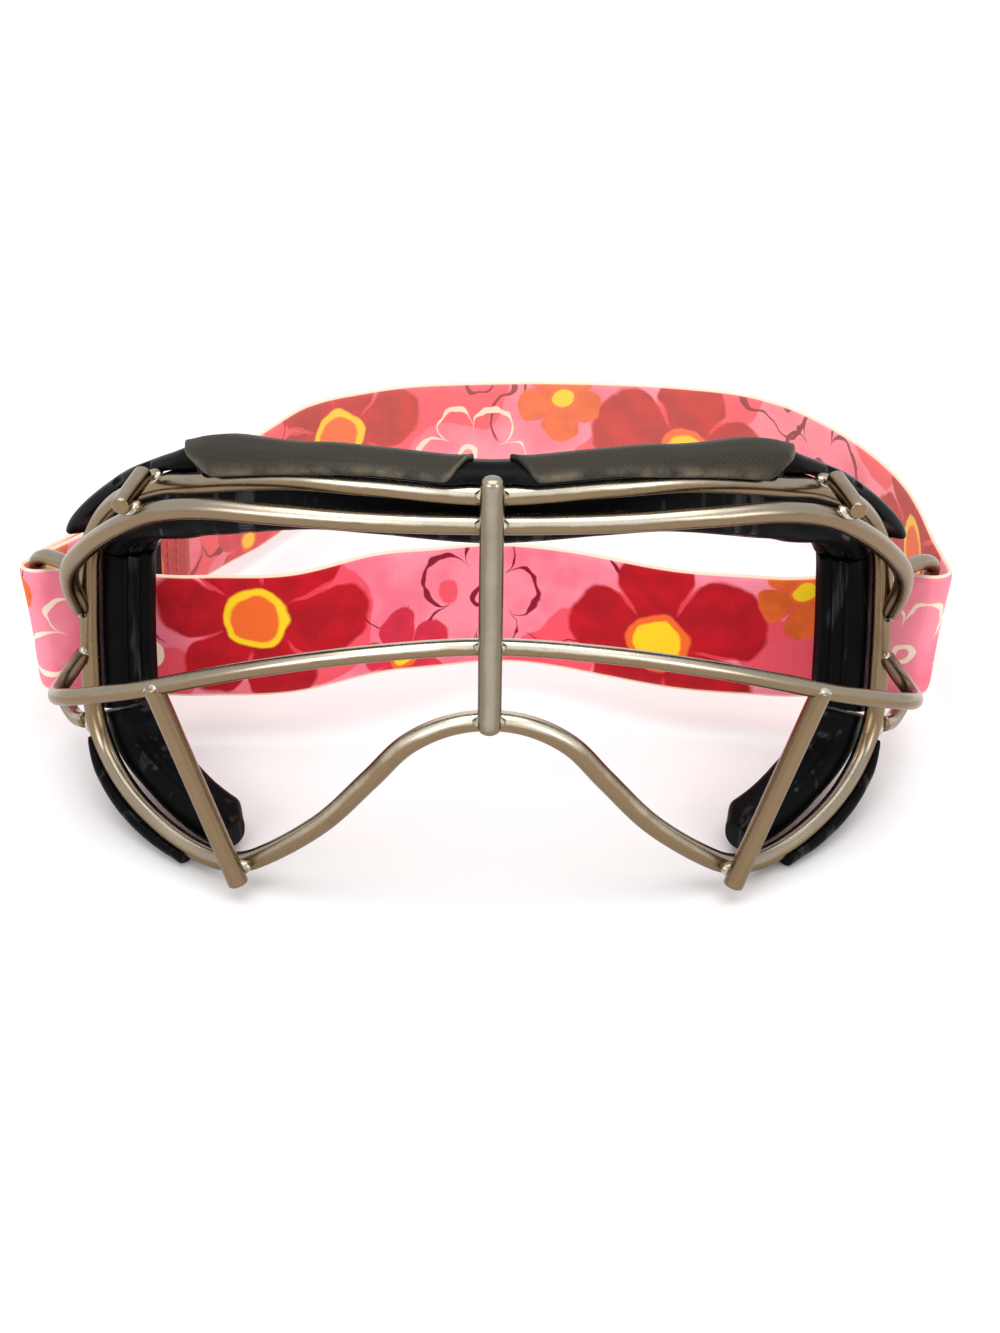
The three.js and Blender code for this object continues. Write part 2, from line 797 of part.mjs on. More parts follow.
// The band's stations, from the visible tail round the left loop, the near run, the right loop and the far run
function strapStations() {
  const layerStart = overlapStart.clone().addScaledVector(overlapNormal, layerStep);
  const leftTurn = arcPoints(
    leftWire,
    wrapRadius,
    overlapAngle + 90 * degrees,
    270 * degrees + strapNearAngle,
    turnSteps,
  );
  const rightTurn = arcPoints(
    rightWire,
    wrapRadius + strapRightSlack,
    -90 * degrees - strapNearAngle,
    0,
    turnSteps,
  );
  const nearPoints = nearRunShares.map(
    ([across, sag]) => new THREE.Vector2(across * loopOuterX, loopOuterY + sag * strapNearSag),
  );
  const farPoints = farRunShares.map(
    ([across, back]) => new THREE.Vector2(across * loopOuterX, loopOuterY + back * strapReach),
  );
  const shoulder = layerStart.clone().addScaledVector(overlapDirection, overlapLength);
  const nearRun = new THREE.SplineCurve([leftTurn[turnSteps], ...nearPoints, rightTurn[0]]);
  const farRun = new THREE.SplineCurve([rightTurn[turnSteps], ...farPoints, shoulder]);
  return [
    ...linePoints(overlapStart, overlapDirection, tailLength, 0, tailSteps).slice(0, -1).map(farStation),
    ...leftTurn.slice(0, -1).map(nearStation),
    ...nearRun.getSpacedPoints(nearSteps).map(nearStation),
    ...rightTurn.slice(1).map(nearStation),
    ...farRun.getSpacedPoints(farSteps).slice(1).map(farStation),
    ...linePoints(layerStart, overlapDirection, overlapLength, outerTailStart, overlapSteps)
      .slice(1)
      .map(farStation),
  ];
}

function strapBand() {
  const halfWidth = strapWidth / 2;
  const halfThickness = strapThickness / 2;
  const section = [
    new THREE.Vector2(halfThickness, strapEdge - halfWidth),
    new THREE.Vector2(halfThickness, halfWidth - strapEdge),
    new THREE.Vector2(halfThickness - strapEdge, halfWidth),
    new THREE.Vector2(strapEdge - halfThickness, halfWidth),
    new THREE.Vector2(-halfThickness, halfWidth - strapEdge),
    new THREE.Vector2(-halfThickness, strapEdge - halfWidth),
    new THREE.Vector2(strapEdge - halfThickness, -halfWidth),
    new THREE.Vector2(halfThickness - strapEdge, -halfWidth),
  ];
  const stations = strapStations();
  const rings = stations.map(({ point, height, lean, tilt }, at) => {
    const before = stations[Math.max(at - 1, 0)].point;
    const after = stations[Math.min(at + 1, stations.length - 1)].point;
    const tangent = after.clone().sub(before).normalize();
    return section.map(
      (corner) =>
        new THREE.Vector3(
          point.x + tangent.y * corner.x + lean * corner.y,
          point.y - tangent.x * corner.x - tilt * corner.y,
          height + corner.y,
        ),
    );
  });
  return loftSolid(rings, section);
}

// Slider: two bars inside the overlapped ends, an arched bar outside them, and a rail past each edge
function strapSlider() {
  const halfLength = sliderLength / 2;
  const innerFace = -strapThickness / 2 - strapGap;
  const outerFace = strapThickness / 2 + layerStep + strapGap;
  const railStart = strapWidth / 2 + strapGap;
  const reach = 2 * (railStart + sliderRail);
  const bar = (x, y) => {
    const box = new THREE.BoxGeometry(sliderBar, sliderSheet, reach);
    return solidOf(box.translate(x, y, 0));
  };
  const barPlace = halfLength - sliderBar / 2;
  const innerBars = [-barPlace, barPlace].map((x) => bar(x, innerFace - sliderSheet / 2));
  const outerBar = bar(0, outerFace + sliderSheet / 2);
  const profile = new THREE.Shape([
    new THREE.Vector2(-halfLength, innerFace - sliderSheet),
    new THREE.Vector2(halfLength, innerFace - sliderSheet),
    new THREE.Vector2(halfLength, innerFace + sliderSheet / 2),
    new THREE.Vector2(sliderBar, outerFace + sliderSheet),
    new THREE.Vector2(-sliderBar, outerFace + sliderSheet),
    new THREE.Vector2(-halfLength, innerFace + sliderSheet / 2),
  ]);
  const rails = [-railStart - sliderRail, railStart].map((z) => {
    const rail = new THREE.ExtrudeGeometry(profile, { depth: sliderRail, bevelEnabled: false });
    return solidOf(rail.translate(0, 0, z));
  });
  return [...innerBars, outerBar, ...rails].reduce((joined, piece) => joined.add(piece));
}

function placeSlider(mesh) {
  const place = overlapStart.clone().addScaledVector(overlapDirection, sliderPlace);
  const along = new THREE.Vector3(
    overlapDirection.x,
    overlapDirection.y,
    (overlapDirection.y * strapRise) / strapReach,
  ).normalize();
  const outward = new THREE.Vector3(overlapNormal.x, overlapNormal.y, 0);
  const upward = new THREE.Vector3().crossVectors(along, outward);
  mesh.position.set(place.x, place.y, heightBehindLoops(place.y));
  mesh.quaternion.setFromRotationMatrix(new THREE.Matrix4().makeBasis(along, outward, upward));
}

// Finishes
const satinSteel = { color: 0xb9b4ab, roughness: 0.36, metalness: 0.95 };
const blackMoulding = { color: 0x17181a, roughness: 0.42, metalness: 0 };
const carbonPlate = { color: 0x2a2c2e, roughness: 0.6, metalness: 0 };
const blackRubber = { color: 0x0d0d0e, roughness: 0.5, metalness: 0 };
const pinkElastic = { color: 0xf0789a, roughness: 0.8, metalness: 0 };
const blackNylon = { color: 0x141416, roughness: 0.45, metalness: 0 };

const cage = new THREE.Group();

function addPiece(name, solid, finish) {
  const mesh = new THREE.Mesh(geometryOf(solid), new THREE.MeshStandardMaterial(finish));
  mesh.name = name;
  cage.add(mesh);
  return mesh;
}

// A piece made for the right side, and its mirror image for the left
function addPair(name, solid, finish) {
  addPiece(`${name}_right`, solid, finish);
  addPiece(`${name}_left`, solid.mirror([1, 0, 0]), finish);
}

addPiece("main_rim", mainRim(), satinSteel);
addPiece("upper_bar", wireSolid(upperCurve, upperWire, barSteps), satinSteel);
addPiece("middle_bar", wireSolid(middleCurve, middleWire, barSteps), satinSteel);
addPiece("centre_bar", wireSolid(centreCurve, centreWire, strutSteps), satinSteel);
addPair("brow_strut", wireSolid(browStrutCurve(), browStrutWire, strutSteps), satinSteel);
addPair("cheek_strut", wireSolid(cheekStrutCurve(), cheekStrutWire, strutSteps), satinSteel);
addPair("strap_loop", wireSolid(loopCurve(), loopWire, loopSteps), satinSteel);
addPiece("brow_guard", browGuard(), blackMoulding);
addPair("brow_insert", browInsert(), carbonPlate);
addPiece("brow_pad", browPad(), blackRubber);
addPair("side_pad", sidePad(), blackRubber);
addPair("cheek_pad", cheekPad(), blackRubber);
addPair("cheek_trim", cheekTrim(), blackRubber);
addPiece("strap_band", strapBand(), pinkElastic);
placeSlider(addPiece("strap_slider", strapSlider(), blackNylon));

// Posture: leaned back, then set down with the middle of its outline over the origin
const goggles = new THREE.Group();
cage.rotation.x = -cageLean;
goggles.add(cage);
goggles.updateMatrixWorld(true);
const outline = new THREE.Box3().setFromObject(goggles, true);
const middle = outline.getCenter(new THREE.Vector3());
cage.position.set(-middle.x, -middle.y, -outline.min.z);
goggles.updateMatrixWorld(true);

export default goggles;
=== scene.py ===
"""Lacrosse goggles: a welded wire cage, a moulded brow guard, rubber padding and a printed elastic strap.

The scene is in metres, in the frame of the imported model. Each sub-assembly is a class that builds its pieces
and dresses them. Its sizes are in millimetres, in the frame of the cage as it stands upright. Each finish
is a small class that paints its own material.
"""

import logging
import math
from dataclasses import dataclass, field
from enum import Enum
from typing import Callable, Sequence

import bmesh
import bpy
import numpy as np
from mathutils import Matrix, Vector


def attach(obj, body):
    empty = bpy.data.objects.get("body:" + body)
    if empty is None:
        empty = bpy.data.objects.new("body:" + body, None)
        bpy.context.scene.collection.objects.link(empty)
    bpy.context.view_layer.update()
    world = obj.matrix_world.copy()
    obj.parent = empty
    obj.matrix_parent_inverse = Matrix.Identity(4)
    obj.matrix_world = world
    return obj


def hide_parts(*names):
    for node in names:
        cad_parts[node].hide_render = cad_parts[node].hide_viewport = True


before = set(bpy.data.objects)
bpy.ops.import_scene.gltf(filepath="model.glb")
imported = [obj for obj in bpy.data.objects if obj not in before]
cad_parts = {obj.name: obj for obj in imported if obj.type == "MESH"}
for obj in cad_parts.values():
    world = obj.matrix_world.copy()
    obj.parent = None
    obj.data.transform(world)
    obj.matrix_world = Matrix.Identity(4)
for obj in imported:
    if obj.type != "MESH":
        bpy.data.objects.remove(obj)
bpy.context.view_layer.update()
log = logging.getLogger("goggles")

Array = np.ndarray
Pair = tuple[float, float]
Triple = tuple[float, float, float]
Material = bpy.types.Material
Thing = bpy.types.Object

MM = 0.001
CAGE = "goggles"
SLIDER = "slider"
HALF_WIDTH = 77.8
WRAP = 45.5
HEIGHT = 83.2
SEAT_GAP = 0.3
STRAP_WIDTH = 26.5
STRAP_GAP = 0.4
UPRIGHT_TURN = Matrix.Rotation(math.radians(-9.6), 3, "X")
UPRIGHT_OFFSET = (-0.3008, -86.3417, 7.6706)


class Side(Enum):
    """The two sides of the cage, as seen from the front."""

    RIGHT = "right"
    LEFT = "left"

    @property
    def sign(self) -> int:
        """The side's direction along X."""
        return 1 if self is Side.RIGHT else -1


class Slot(Enum):
    """The record's material slots."""

    STEEL = "steel_wire"
    GUARD = "guard_moulding"
    INSERT = "insert_plate"
    PADDING = "padding"
    TRIM = "rubber_trim"
    STRAP = "strap_elastic"
    SLIDER = "slider_plastic"


# Shader and geometry nodes


class Wire:
    """A node's output that reads like a number: each sum, product or comparison adds its Math node."""

    def __init__(self, kit: "NodeKit", socket: bpy.types.NodeSocket) -> None:
        self.kit = kit
        self.socket = socket

    def call(self, operation: str, *others: "Wire | float") -> "Wire":
        """Any Math operation, such as SINE, ABSOLUTE or ARCTAN2."""
        return self.kit.node("ShaderNodeMath", {"operation": operation}, [self, *others])

    def __add__(self, other: "Wire | float") -> "Wire":
        """self + other"""
        return self.call("ADD", other)

    __radd__ = __add__

    def __sub__(self, other: "Wire | float") -> "Wire":
        """self - other"""
        return self.call("SUBTRACT", other)

    def __rsub__(self, other: float) -> "Wire":
        """other - self"""
        return self * -1.0 + other

    def __mul__(self, other: "Wire | float") -> "Wire":
        """self * other"""
        return self.call("MULTIPLY", other)

    def __truediv__(self, other: "Wire | float") -> "Wire":
        """self / other"""
        return self.call("DIVIDE", other)

    def step(self, low: float, high: float) -> "Wire":
        """A smooth step from one value to another.

        Args:
            low: where it is 0, which may be the greater.
            high: where it is 1.

        Returns:
            The step.
        """
        if low > high:
            return 1.0 - self.step(high, low)
        settings = {"interpolation_type": "SMOOTHSTEP"}
        return self.kit.node("ShaderNodeMapRange", settings, [self, low, high, 0.0, 1.0])

    def clamp(self) -> "Wire":
        """The value held between 0 and 1."""
        return self.call("MAXIMUM", 0.0).call("MINIMUM", 1.0)


class NodeKit:
    """A node tree under construction."""

    def __init__(self, tree: bpy.types.NodeTree) -> None:
        """Takes the tree."""
        self.tree = tree

    def node(
        self,
        kind: str,
        settings: dict[str, object] | None = None,
        values: Sequence | dict = (),
        output: int | str = 0,
    ) -> Wire:
        """Adds a node.

        Args:
            kind: the node's type.
            settings: properties set before the sockets.
            values: numbers, vectors or wires for its inputs, in order or by name.
            output: which output to return.

        Returns:
            That output as a wire.
        """
        made = self.tree.nodes.new(kind)
        for key, value in (settings or {}).items():
            setattr(made, key, value)
        for key, value in values.items() if isinstance(values, dict) else enumerate(values):
            self.put(made.inputs[key], value)
        return Wire(self, made.outputs[output])

    def put(self, target: bpy.types.NodeSocket, value: object) -> None:
        """Links an input to a wire, or sets it."""
        if isinstance(value, Wire):
            self.tree.links.new(value.socket, target)
        else:
            target.default_value = value


class Recipe(NodeKit):
    """A geometry tree with named sizes, run once on a piece and kept as its plain dressed mesh."""

    def __init__(self, name: str) -> None:
        """Starts a tree that takes and gives geometry."""
        super().__init__(bpy.data.node_groups.new(name, "GeometryNodeTree"))
        for way in ("INPUT", "OUTPUT"):
            self.tree.interface.new_socket("Geometry", in_out=way, socket_type="NodeSocketGeometry")
        self.entry = self.tree.nodes.new("NodeGroupInput")
        self.exit = self.tree.nodes.new("NodeGroupOutput")
        self.geometry = Wire(self, self.entry.outputs["Geometry"])
        self.sizes: dict[str, float] = {}

    def size(self, name: str, value: float) -> Wire:
        """Adds a named size in metres, or a bare number."""
        socket = self.tree.interface.new_socket(name, in_out="INPUT", socket_type="NodeSocketFloat")
        self.sizes[socket.identifier] = socket.default_value = value
        return Wire(self, self.entry.outputs[name])

    def add(self, kind: str, output: str = "Geometry", **values: object) -> Wire:
        """Adds a geometry node, its inputs given by name."""
        return self.node("GeometryNode" + kind, values=values, output=output)

    def copies(self, points: Wire, shape: Wire, turn: Wire, size: Wire) -> Wire:
        """A copy of a shape on each point, turned and sized by wires."""
        placed = {"Points": points, "Instance": shape, "Rotation": turn, "Scale": size}
        return self.add("RealizeInstances", Geometry=self.add("InstanceOnPoints", "Instances", **placed))

    def run(self, piece: Thing, geometry: Wire, material: Material) -> None:
        """Smooths and dresses the result, and keeps it as a piece's plain mesh.

        Args:
            piece: the object that holds the points or lines to work on.
            geometry: the result.
            material: its finish.
        """
        smooth = self.add("SetShadeSmooth", Geometry=geometry)
        self.put(self.exit.inputs["Geometry"], self.add("SetMaterial", Geometry=smooth, Material=material))
        modifier = piece.modifiers.new("recipe", "NODES")
        modifier.node_group = self.tree
        for identifier, value in self.sizes.items():
            modifier[identifier] = value
        apply_modifiers(piece)


class Shader(NodeKit):
    """A material under construction, with one Principled shader."""

    def __init__(self, name: str) -> None:
        """Starts a new node material."""
        self.material = bpy.data.materials.new(name)
        self.material.use_nodes = True
        super().__init__(self.material.node_tree)

    def coords(self) -> Wire:
        """Object coordinates."""
        return self.node("ShaderNodeTexCoord", output="Object")

    def attribute(self, name: str) -> Wire:
        """A value that the mesh carries."""
        return self.node("ShaderNodeAttribute", {"attribute_name": name}, output="Fac")

    def split(self, vector: Wire) -> tuple[Wire, Wire, Wire]:
        """A vector's three parts."""
        outputs = self.node("ShaderNodeSeparateXYZ", values=[vector]).socket.node.outputs
        return Wire(self, outputs[0]), Wire(self, outputs[1]), Wire(self, outputs[2])

    def join(self, x: Wire | float, y: Wire | float, z: Wire | float = 0.0) -> Wire:
        """Three numbers as a vector."""
        return self.node("ShaderNodeCombineXYZ", values=[x, y, z])

    def noise(
        self, vector: Wire, scale: float, detail: float, roughness: float = 0.5, output: str | int = 0
    ) -> Wire:
        """A noise value or colour about 0.5."""
        values = {"Vector": vector, "Scale": scale, "Detail": detail, "Roughness": roughness}
        return self.node("ShaderNodeTexNoise", values=values, output=output)

    def mix(self, share: Wire | float, first: Wire | Triple, second: Wire | Triple) -> Wire:
        """A colour between two colours: the first at 0, the second at 1."""
        first, second = (value if isinstance(value, Wire) else (*value, 1.0) for value in (first, second))
        return self.node("ShaderNodeMix", {"data_type": "RGBA"}, {0: share, 6: first, 7: second}, 2)

    def scaled(self, vector: Wire, factors: Triple) -> Wire:
        """A vector times three factors."""
        return self.node("ShaderNodeVectorMath", {"operation": "MULTIPLY"}, [vector, factors])

    def bump(self, height: Wire, distance: float, strength: float) -> None:
        """Raises the surface by a height between 0 and 1 times a distance in metres."""
        values = {"Strength": strength, "Distance": distance, "Height": height}
        self.set("Normal", self.node("ShaderNodeBump", values=values))

    def set(self, socket: str, value: object) -> None:
        """Sets or links one input of the Principled shader."""
        self.put(self.tree.nodes["Principled BSDF"].inputs[socket], value)


def linear(red: int, green: int, blue: int) -> Triple:
    """A colour as the screen shows it, turned into the renderer's linear values.

    Args:
        red, green, blue: the channels, from 0 to 255.

    Returns:
        The linear channels, from 0 to 1.
    """
    shares = (channel / 255 for channel in (red, green, blue))
    return tuple(share / 12.92 if share <= 0.04045 else ((share + 0.055) / 1.055) ** 2.4 for share in shares)


# Finishes


@dataclass(frozen=True)
class Finish:
    """A material that paints itself."""

    name: str

    def material(self) -> Material:
        """Builds the material.

        Returns:
            The new material.
        """
        shader = Shader(self.name)
        self.paint(shader)
        return shader.material

    def paint(self, s: Shader) -> None:
        """Sets the shader's inputs; each finish has its own."""
        raise NotImplementedError


@dataclass(frozen=True)
class SatinSteel(Finish):
    """Bent nickel-plated wire, with painted light: a painted highlight above, strongest in the middle, tan in
    front, and painted reflection and shade underneath.
    """

    name: str = "satin_steel"
    # Lit and shaded copies of one steel, in order: a painted highlight on top near the middle, a painted lit
    # tone above, a middle tone in front, and painted reflection and shade underneath; the stain is real.
    painted_highlight: Triple = linear(214, 204, 184)
    pale: Triple = linear(150, 138, 122)
    plain: Triple = linear(126, 106, 81)
    painted_underside: Triple = linear(90, 66, 40)
    stain: Triple = linear(92, 76, 58)
    painted_highlight_fades: Pair = (0.014, 0.052)
    painted_lit_facing: Pair = (0.58, 0.74)
    painted_underside_facing: Pair = (0.16, -0.34)
    roughness: float = 0.25

    def paint(self, s: Shader) -> None:
        """Blends painted lit and shaded tones by the way that the wire faces, with faint stains and grain.

        Args:
            s: the shader to set up.
        """
        place = s.coords()
        patches = s.noise(place, 190.0, 4.0, 0.6)
        grain = s.noise(s.scaled(place, (1.0, 1.0, 2.2)), 2600.0, 2.0, 0.6)
        # Painted light: the stored facing value, with some noise, lightens the tops, most of all near the
        # middle, and darkens the undersides as painted reflection and shade.
        light_mask = s.attribute("upward") + (patches - 0.5) * 0.16
        from_middle = s.split(place)[0].call("ABSOLUTE")
        top = s.mix(from_middle.step(*self.painted_highlight_fades), self.painted_highlight, self.pale)
        painted_light_tint = s.mix(light_mask.step(*self.painted_lit_facing), self.plain, top)
        painted_light_tint = s.mix(light_mask.step(*self.painted_underside_facing), painted_light_tint, self.painted_underside)
        s.set("Base Color", s.mix(patches.step(0.58, 0.8) * 0.3, painted_light_tint, self.stain))
        s.set("Metallic", 1.0)
        s.set("Roughness", (self.roughness + (patches - 0.5) * 0.22 + (grain - 0.5) * 0.1).clamp())
        s.bump(grain, 0.00002, 0.4)


@dataclass(frozen=True)
class WeldSteel(Finish):
    """A ground and plated weld bead: brighter and rippled."""

    name: str = "weld_steel"
    colour: Triple = linear(206, 199, 186)
    hollow: Triple = linear(142, 128, 108)

    def paint(self, s: Shader) -> None:
        """Darkens the ripples' hollows.

        Args:
            s: the shader to set up.
        """
        ripple = s.noise(s.coords(), 700.0, 2.0)
        s.set("Base Color", s.mix(ripple.step(0.35, 0.7), self.hollow, self.colour))
        s.set("Metallic", 1.0)
        s.set("Roughness", 0.14 + ripple * 0.16)
        s.bump(ripple, 0.0001, 0.6)


@dataclass(frozen=True)
class MouldedBlack(Finish):
    """Injection-moulded plastic: black, half glossy, lightly textured, greyed by dust in patches."""

    colour: Triple = linear(11, 10, 13)
    worn: Triple = linear(30, 30, 27)
    roughness: float = 0.3
    shine: float = 0.06
    texture: float = 1500.0

    def paint(self, s: Shader) -> None:
        """Lays dust over the black and textures it.

        Args:
            s: the shader to set up.
        """
        place = s.coords()
        dust = s.noise(place, 60.0, 5.0, 0.65)
        s.set("Base Color", s.mix(dust.step(0.52, 0.82) * 0.7, self.colour, self.worn))
        s.set("Roughness", (self.roughness + (dust - 0.5) * 0.25).clamp())
        s.set("Specular IOR Level", self.shine)
        s.bump(s.noise(place, self.texture, 2.0), 0.00003, 0.4)


@dataclass(frozen=True)
class WovenPlate(Finish):
    """A dark grey plate with a fine twill weave, with a painted highlight along its lower edge."""

    name: str = "woven_plate"
    dark: Triple = linear(45, 42, 35)
    light: Triple = linear(55, 51, 43)
    # The colour of the painted highlight along the lower edge.
    edge_highlight: Triple = linear(122, 112, 94)
    pitch: float = 0.0011
    shine: float = 0.12

    def paint(self, s: Shader) -> None:
        """Weaves two sets of threads in a twill, with a painted highlight where the mesh marks the lower edge.

        Args:
            s: the shader to set up.
        """
        x, y, z = s.split(s.coords())
        across = x / self.pitch
        upward = (z + y * 0.35) / self.pitch
        twill = (across + upward).call("FRACT").call("GREATER_THAN", 0.5)
        threads = (across * math.tau).call("SINE") * 0.25 + (upward * math.tau).call("SINE") * 0.25
        soft = s.noise(s.coords(), 90.0, 4.0, 0.6)
        weave = (twill * 0.5 + threads * 0.5 + (soft - 0.5) * 0.9 + 0.1).clamp()
        # Painted highlight: a pale line along the plate's lower edge, where its bevel catches the light.
        rim = s.attribute("edge_highlight") * soft.step(0.35, 0.6)
        s.set("Base Color", s.mix(rim * 0.7, s.mix(weave, self.dark, self.light), self.edge_highlight))
        s.set("Roughness", 0.46 + weave * 0.1)
        s.set("Specular IOR Level", self.shine)
        s.bump(weave, 0.00003, 0.3)


@dataclass(frozen=True)
class MouldedRubber(Finish):
    """Black moulded rubber foam: a fine skin with smeared glossy streaks where it has been handled."""

    colour: Triple = linear(5, 5, 6)
    grey: Triple = linear(20, 19, 17)
    roughness: float = 0.42
    shine: float = 0.05
    gloss: float = 0.16

    def paint(self, s: Shader) -> None:
        """Streaks the skin with a thin gloss.

        Args:
            s: the shader to set up.
        """
        place = s.coords()
        smear = s.noise(s.scaled(place, (1.0, 1.0, 0.1)), 300.0, 2.0)
        skin = s.noise(place, 2200.0, 3.0, 0.7)
        s.set("Base Color", s.mix(smear.step(0.56, 0.76) * 0.6, self.colour, self.grey))
        s.set("Roughness", (self.roughness - smear.step(0.52, 0.68) * 0.24 + (skin - 0.5) * 0.1).clamp())
        s.set("Specular IOR Level", self.shine)
        s.set("Coat Weight", smear.step(0.56, 0.7) * 0.4)
        s.set("Coat Roughness", self.gloss)
        s.bump(skin, 0.00005, 0.4)


class Print(Enum):
    """The two ways that a flower is printed."""

    FILLED = "filled"
    OUTLINED = "outlined"


@dataclass(frozen=True)
class Blossom:
    """One printed flower: its place along and across the band, its reach, its petals and its colours."""

    along: float
    across: float
    reach: float
    petals: int
    turn: float
    colour: Triple
    heart: Triple
    style: Print = Print.FILLED


CRIMSON = linear(194, 8, 28)
ROSE = linear(226, 44, 72)
CORAL = linear(238, 70, 86)
ORANGE = linear(240, 104, 40)
YELLOW = linear(250, 206, 30)
CREAM = linear(250, 222, 198)
PINK = linear(240, 112, 134)
PALE_PINK = linear(248, 140, 158)
WINE = linear(136, 6, 40)


@dataclass(frozen=True)
class PrintedElastic(Finish):
    """Woven elastic printed with plain round-petalled blossoms and brush lines on pink, with cream selvedges.

    The print repeats along the band, and one repeat is laid out here, in metres.
    """

    name: str = "printed_elastic"
    repeat: float = 0.168
    selvedge: float = 0.0006
    rib: float = 0.00085
    pick_share: float = 0.8
    waver: float = 0.0042
    blossoms: tuple[Blossom, ...] = (
        Blossom(0.146, 0.002, 0.0140, 5, 0.5, WINE, WINE, Print.OUTLINED),
        Blossom(0.016, -0.003, 0.0225, 5, 0.2, CRIMSON, YELLOW),
        Blossom(0.045, 0.010, 0.0100, 5, 0.9, ORANGE, YELLOW),
        Blossom(0.066, -0.004, 0.0135, 6, 0.4, CREAM, CREAM, Print.OUTLINED),
        Blossom(0.098, 0.004, 0.0225, 6, 0.7, CRIMSON, ORANGE),
        Blossom(0.128, -0.010, 0.0105, 5, 0.1, ROSE, YELLOW),
    )

    def _blossom(self, s: Shader, u: Wire, v: Wire, brush: Wire, flower: Blossom, colour: Wire) -> Wire:
        """Paints one flower over a colour.

        Args:
            s: the material.
            u, v: metres along one repeat and across the band, wavering as a hand does.
            brush: how thick the line is here, from 0 to 1.
            flower: what to paint.
            colour: the colour so far.

        Returns:
            The colour with the flower on it.
        """
        x = u - flower.along
        x = x - (x / self.repeat).call("ROUND") * self.repeat
        y = v - flower.across
        far = (x * x + y * y).call("SQRT") / flower.reach
        angle = y.call("ARCTAN2", x) + flower.turn
        lobe = (angle * (flower.petals / 2)).call("SINE").call("ABSOLUTE")
        uneven = (angle + flower.turn * 9).call("SINE") * 0.1 + 1.0
        edge = far - (lobe.call("POWER", 0.4) * 0.5 + 0.46) * uneven
        if flower.style is Print.OUTLINED:
            line = edge.call("ABSOLUTE") - brush * 0.06
            painted = s.mix(line.step(0.02, 0.0), colour, flower.colour)
            return s.mix((far - 0.14).call("ABSOLUTE").step(0.05, 0.03), painted, flower.heart)
        inside = edge.step(0.03, -0.03)
        shade = s.mix(brush, flower.colour, tuple(0.72 * part for part in flower.colour))
        painted = s.mix(inside, colour, shade)
        gap = (lobe - 0.05 - far * 0.1).step(0.06, 0.0)
        painted = s.mix(gap * far.step(0.3, 0.42) * inside * 0.7, painted, CORAL)
        painted = s.mix(far.step(0.31, 0.28), painted, ORANGE if flower.heart is YELLOW else YELLOW)
        return s.mix(far.step(0.24, 0.21), painted, flower.heart)

    def paint(self, s: Shader) -> None:
        """Prints washes, patches, scrawled lines and flowers on the weave, and leaves the selvedges bare.

        Args:
            s: the shader to set up.
        """
        u, v, _ = s.split(s.node("ShaderNodeUVMap", {"uv_map": "band"}, output="UV"))
        drift_u, drift_v, _ = s.split(s.noise(s.join(u, v), 120.0, 2.0, output="Color"))
        hand_u, hand_v = u + (drift_u - 0.5) * self.waver, v + (drift_v - 0.5) * self.waver
        wash = s.noise(s.join(u, v), 45.0, 3.0, 0.6)
        brush = s.noise(s.join(u, v, 0.3), 160.0, 2.0).step(0.3, 0.7)
        colour = s.mix(wash.step(0.4, 0.62), PALE_PINK, PINK)
        patch = s.noise(s.join(hand_u, hand_v, 0.7), 52.0, 0.0)
        colour = s.mix(patch.step(0.585, 0.6) * 0.85, colour, CORAL)
        scrawl = (s.noise(s.join(hand_u, hand_v, 0.9), 74.0, 0.5) - 0.47).call("ABSOLUTE")
        where = s.noise(s.join(u, v, 0.5), 30.0, 0.0).step(0.47, 0.5)
        colour = s.mix((scrawl - brush * 0.006).step(0.006, 0.003) * where, colour, WINE)
        for flower in self.blossoms:
            colour = self._blossom(s, hand_u, hand_v, brush, flower, colour)
        selvedge = STRAP_WIDTH / 2 * MM - self.selvedge
        edge = v.call("ABSOLUTE").step(selvedge, selvedge + self.selvedge / 2)
        colour = s.mix(edge * 0.9, colour, CREAM)
        s.set("Base Color", s.mix(s.attribute("inner") * 0.12, colour, CREAM))
        ribs, picks = ((way * math.tau / pitch).call("SINE") for way, pitch in (
            (v, self.rib), (u, self.rib * self.pick_share)
        ))
        s.set("Roughness", 0.82)
        s.set("Sheen Weight", 0.1)
        s.set("Specular IOR Level", 0.2)
        s.bump(ribs * 0.3 + picks * 0.2 + 0.5, 0.00008, 0.45)


@dataclass(frozen=True)
class SewingThread(Finish):
    """Twisted polyester thread."""

    name: str = "sewing_thread"
    colour: Triple = linear(196, 60, 88)
    lit: Triple = linear(236, 120, 140)

    def paint(self, s: Shader) -> None:
        """Twists two tones.

        Args:
            s: the shader to set up.
        """
        twist = s.noise(s.coords(), 5200.0, 1.0)
        s.set("Base Color", s.mix(twist.step(0.4, 0.6), self.colour, self.lit))
        s.set("Roughness", 0.7)
        s.bump(twist, 0.0001, 0.6)


@dataclass(frozen=True)
class PaleFloor(Finish):
    """The plain floor, which shows as white and keeps the object's shadow."""

    name: str = "pale_floor"
    grey: float = 0.93
    roughness: float = 0.9

    def paint(self, s: Shader) -> None:
        """Sets the one tone."""
        s.set("Base Color", (self.grey, self.grey, self.grey, 1.0))
        s.set("Roughness", self.roughness)


# Mesh helpers


def new_piece(name: str, points: Sequence, edges: Sequence = (), faces: Sequence = ()) -> Thing:
    """Links a new object with a mesh.

    Args:
        name: the object's name.
        points, edges, faces: the mesh's data, in metres.

    Returns:
        The new object.
    """
    mesh = bpy.data.meshes.new(name)
    mesh.from_pydata(points, edges, faces)
    made = bpy.data.objects.new(name, mesh)
    bpy.context.collection.objects.link(made)
    return made


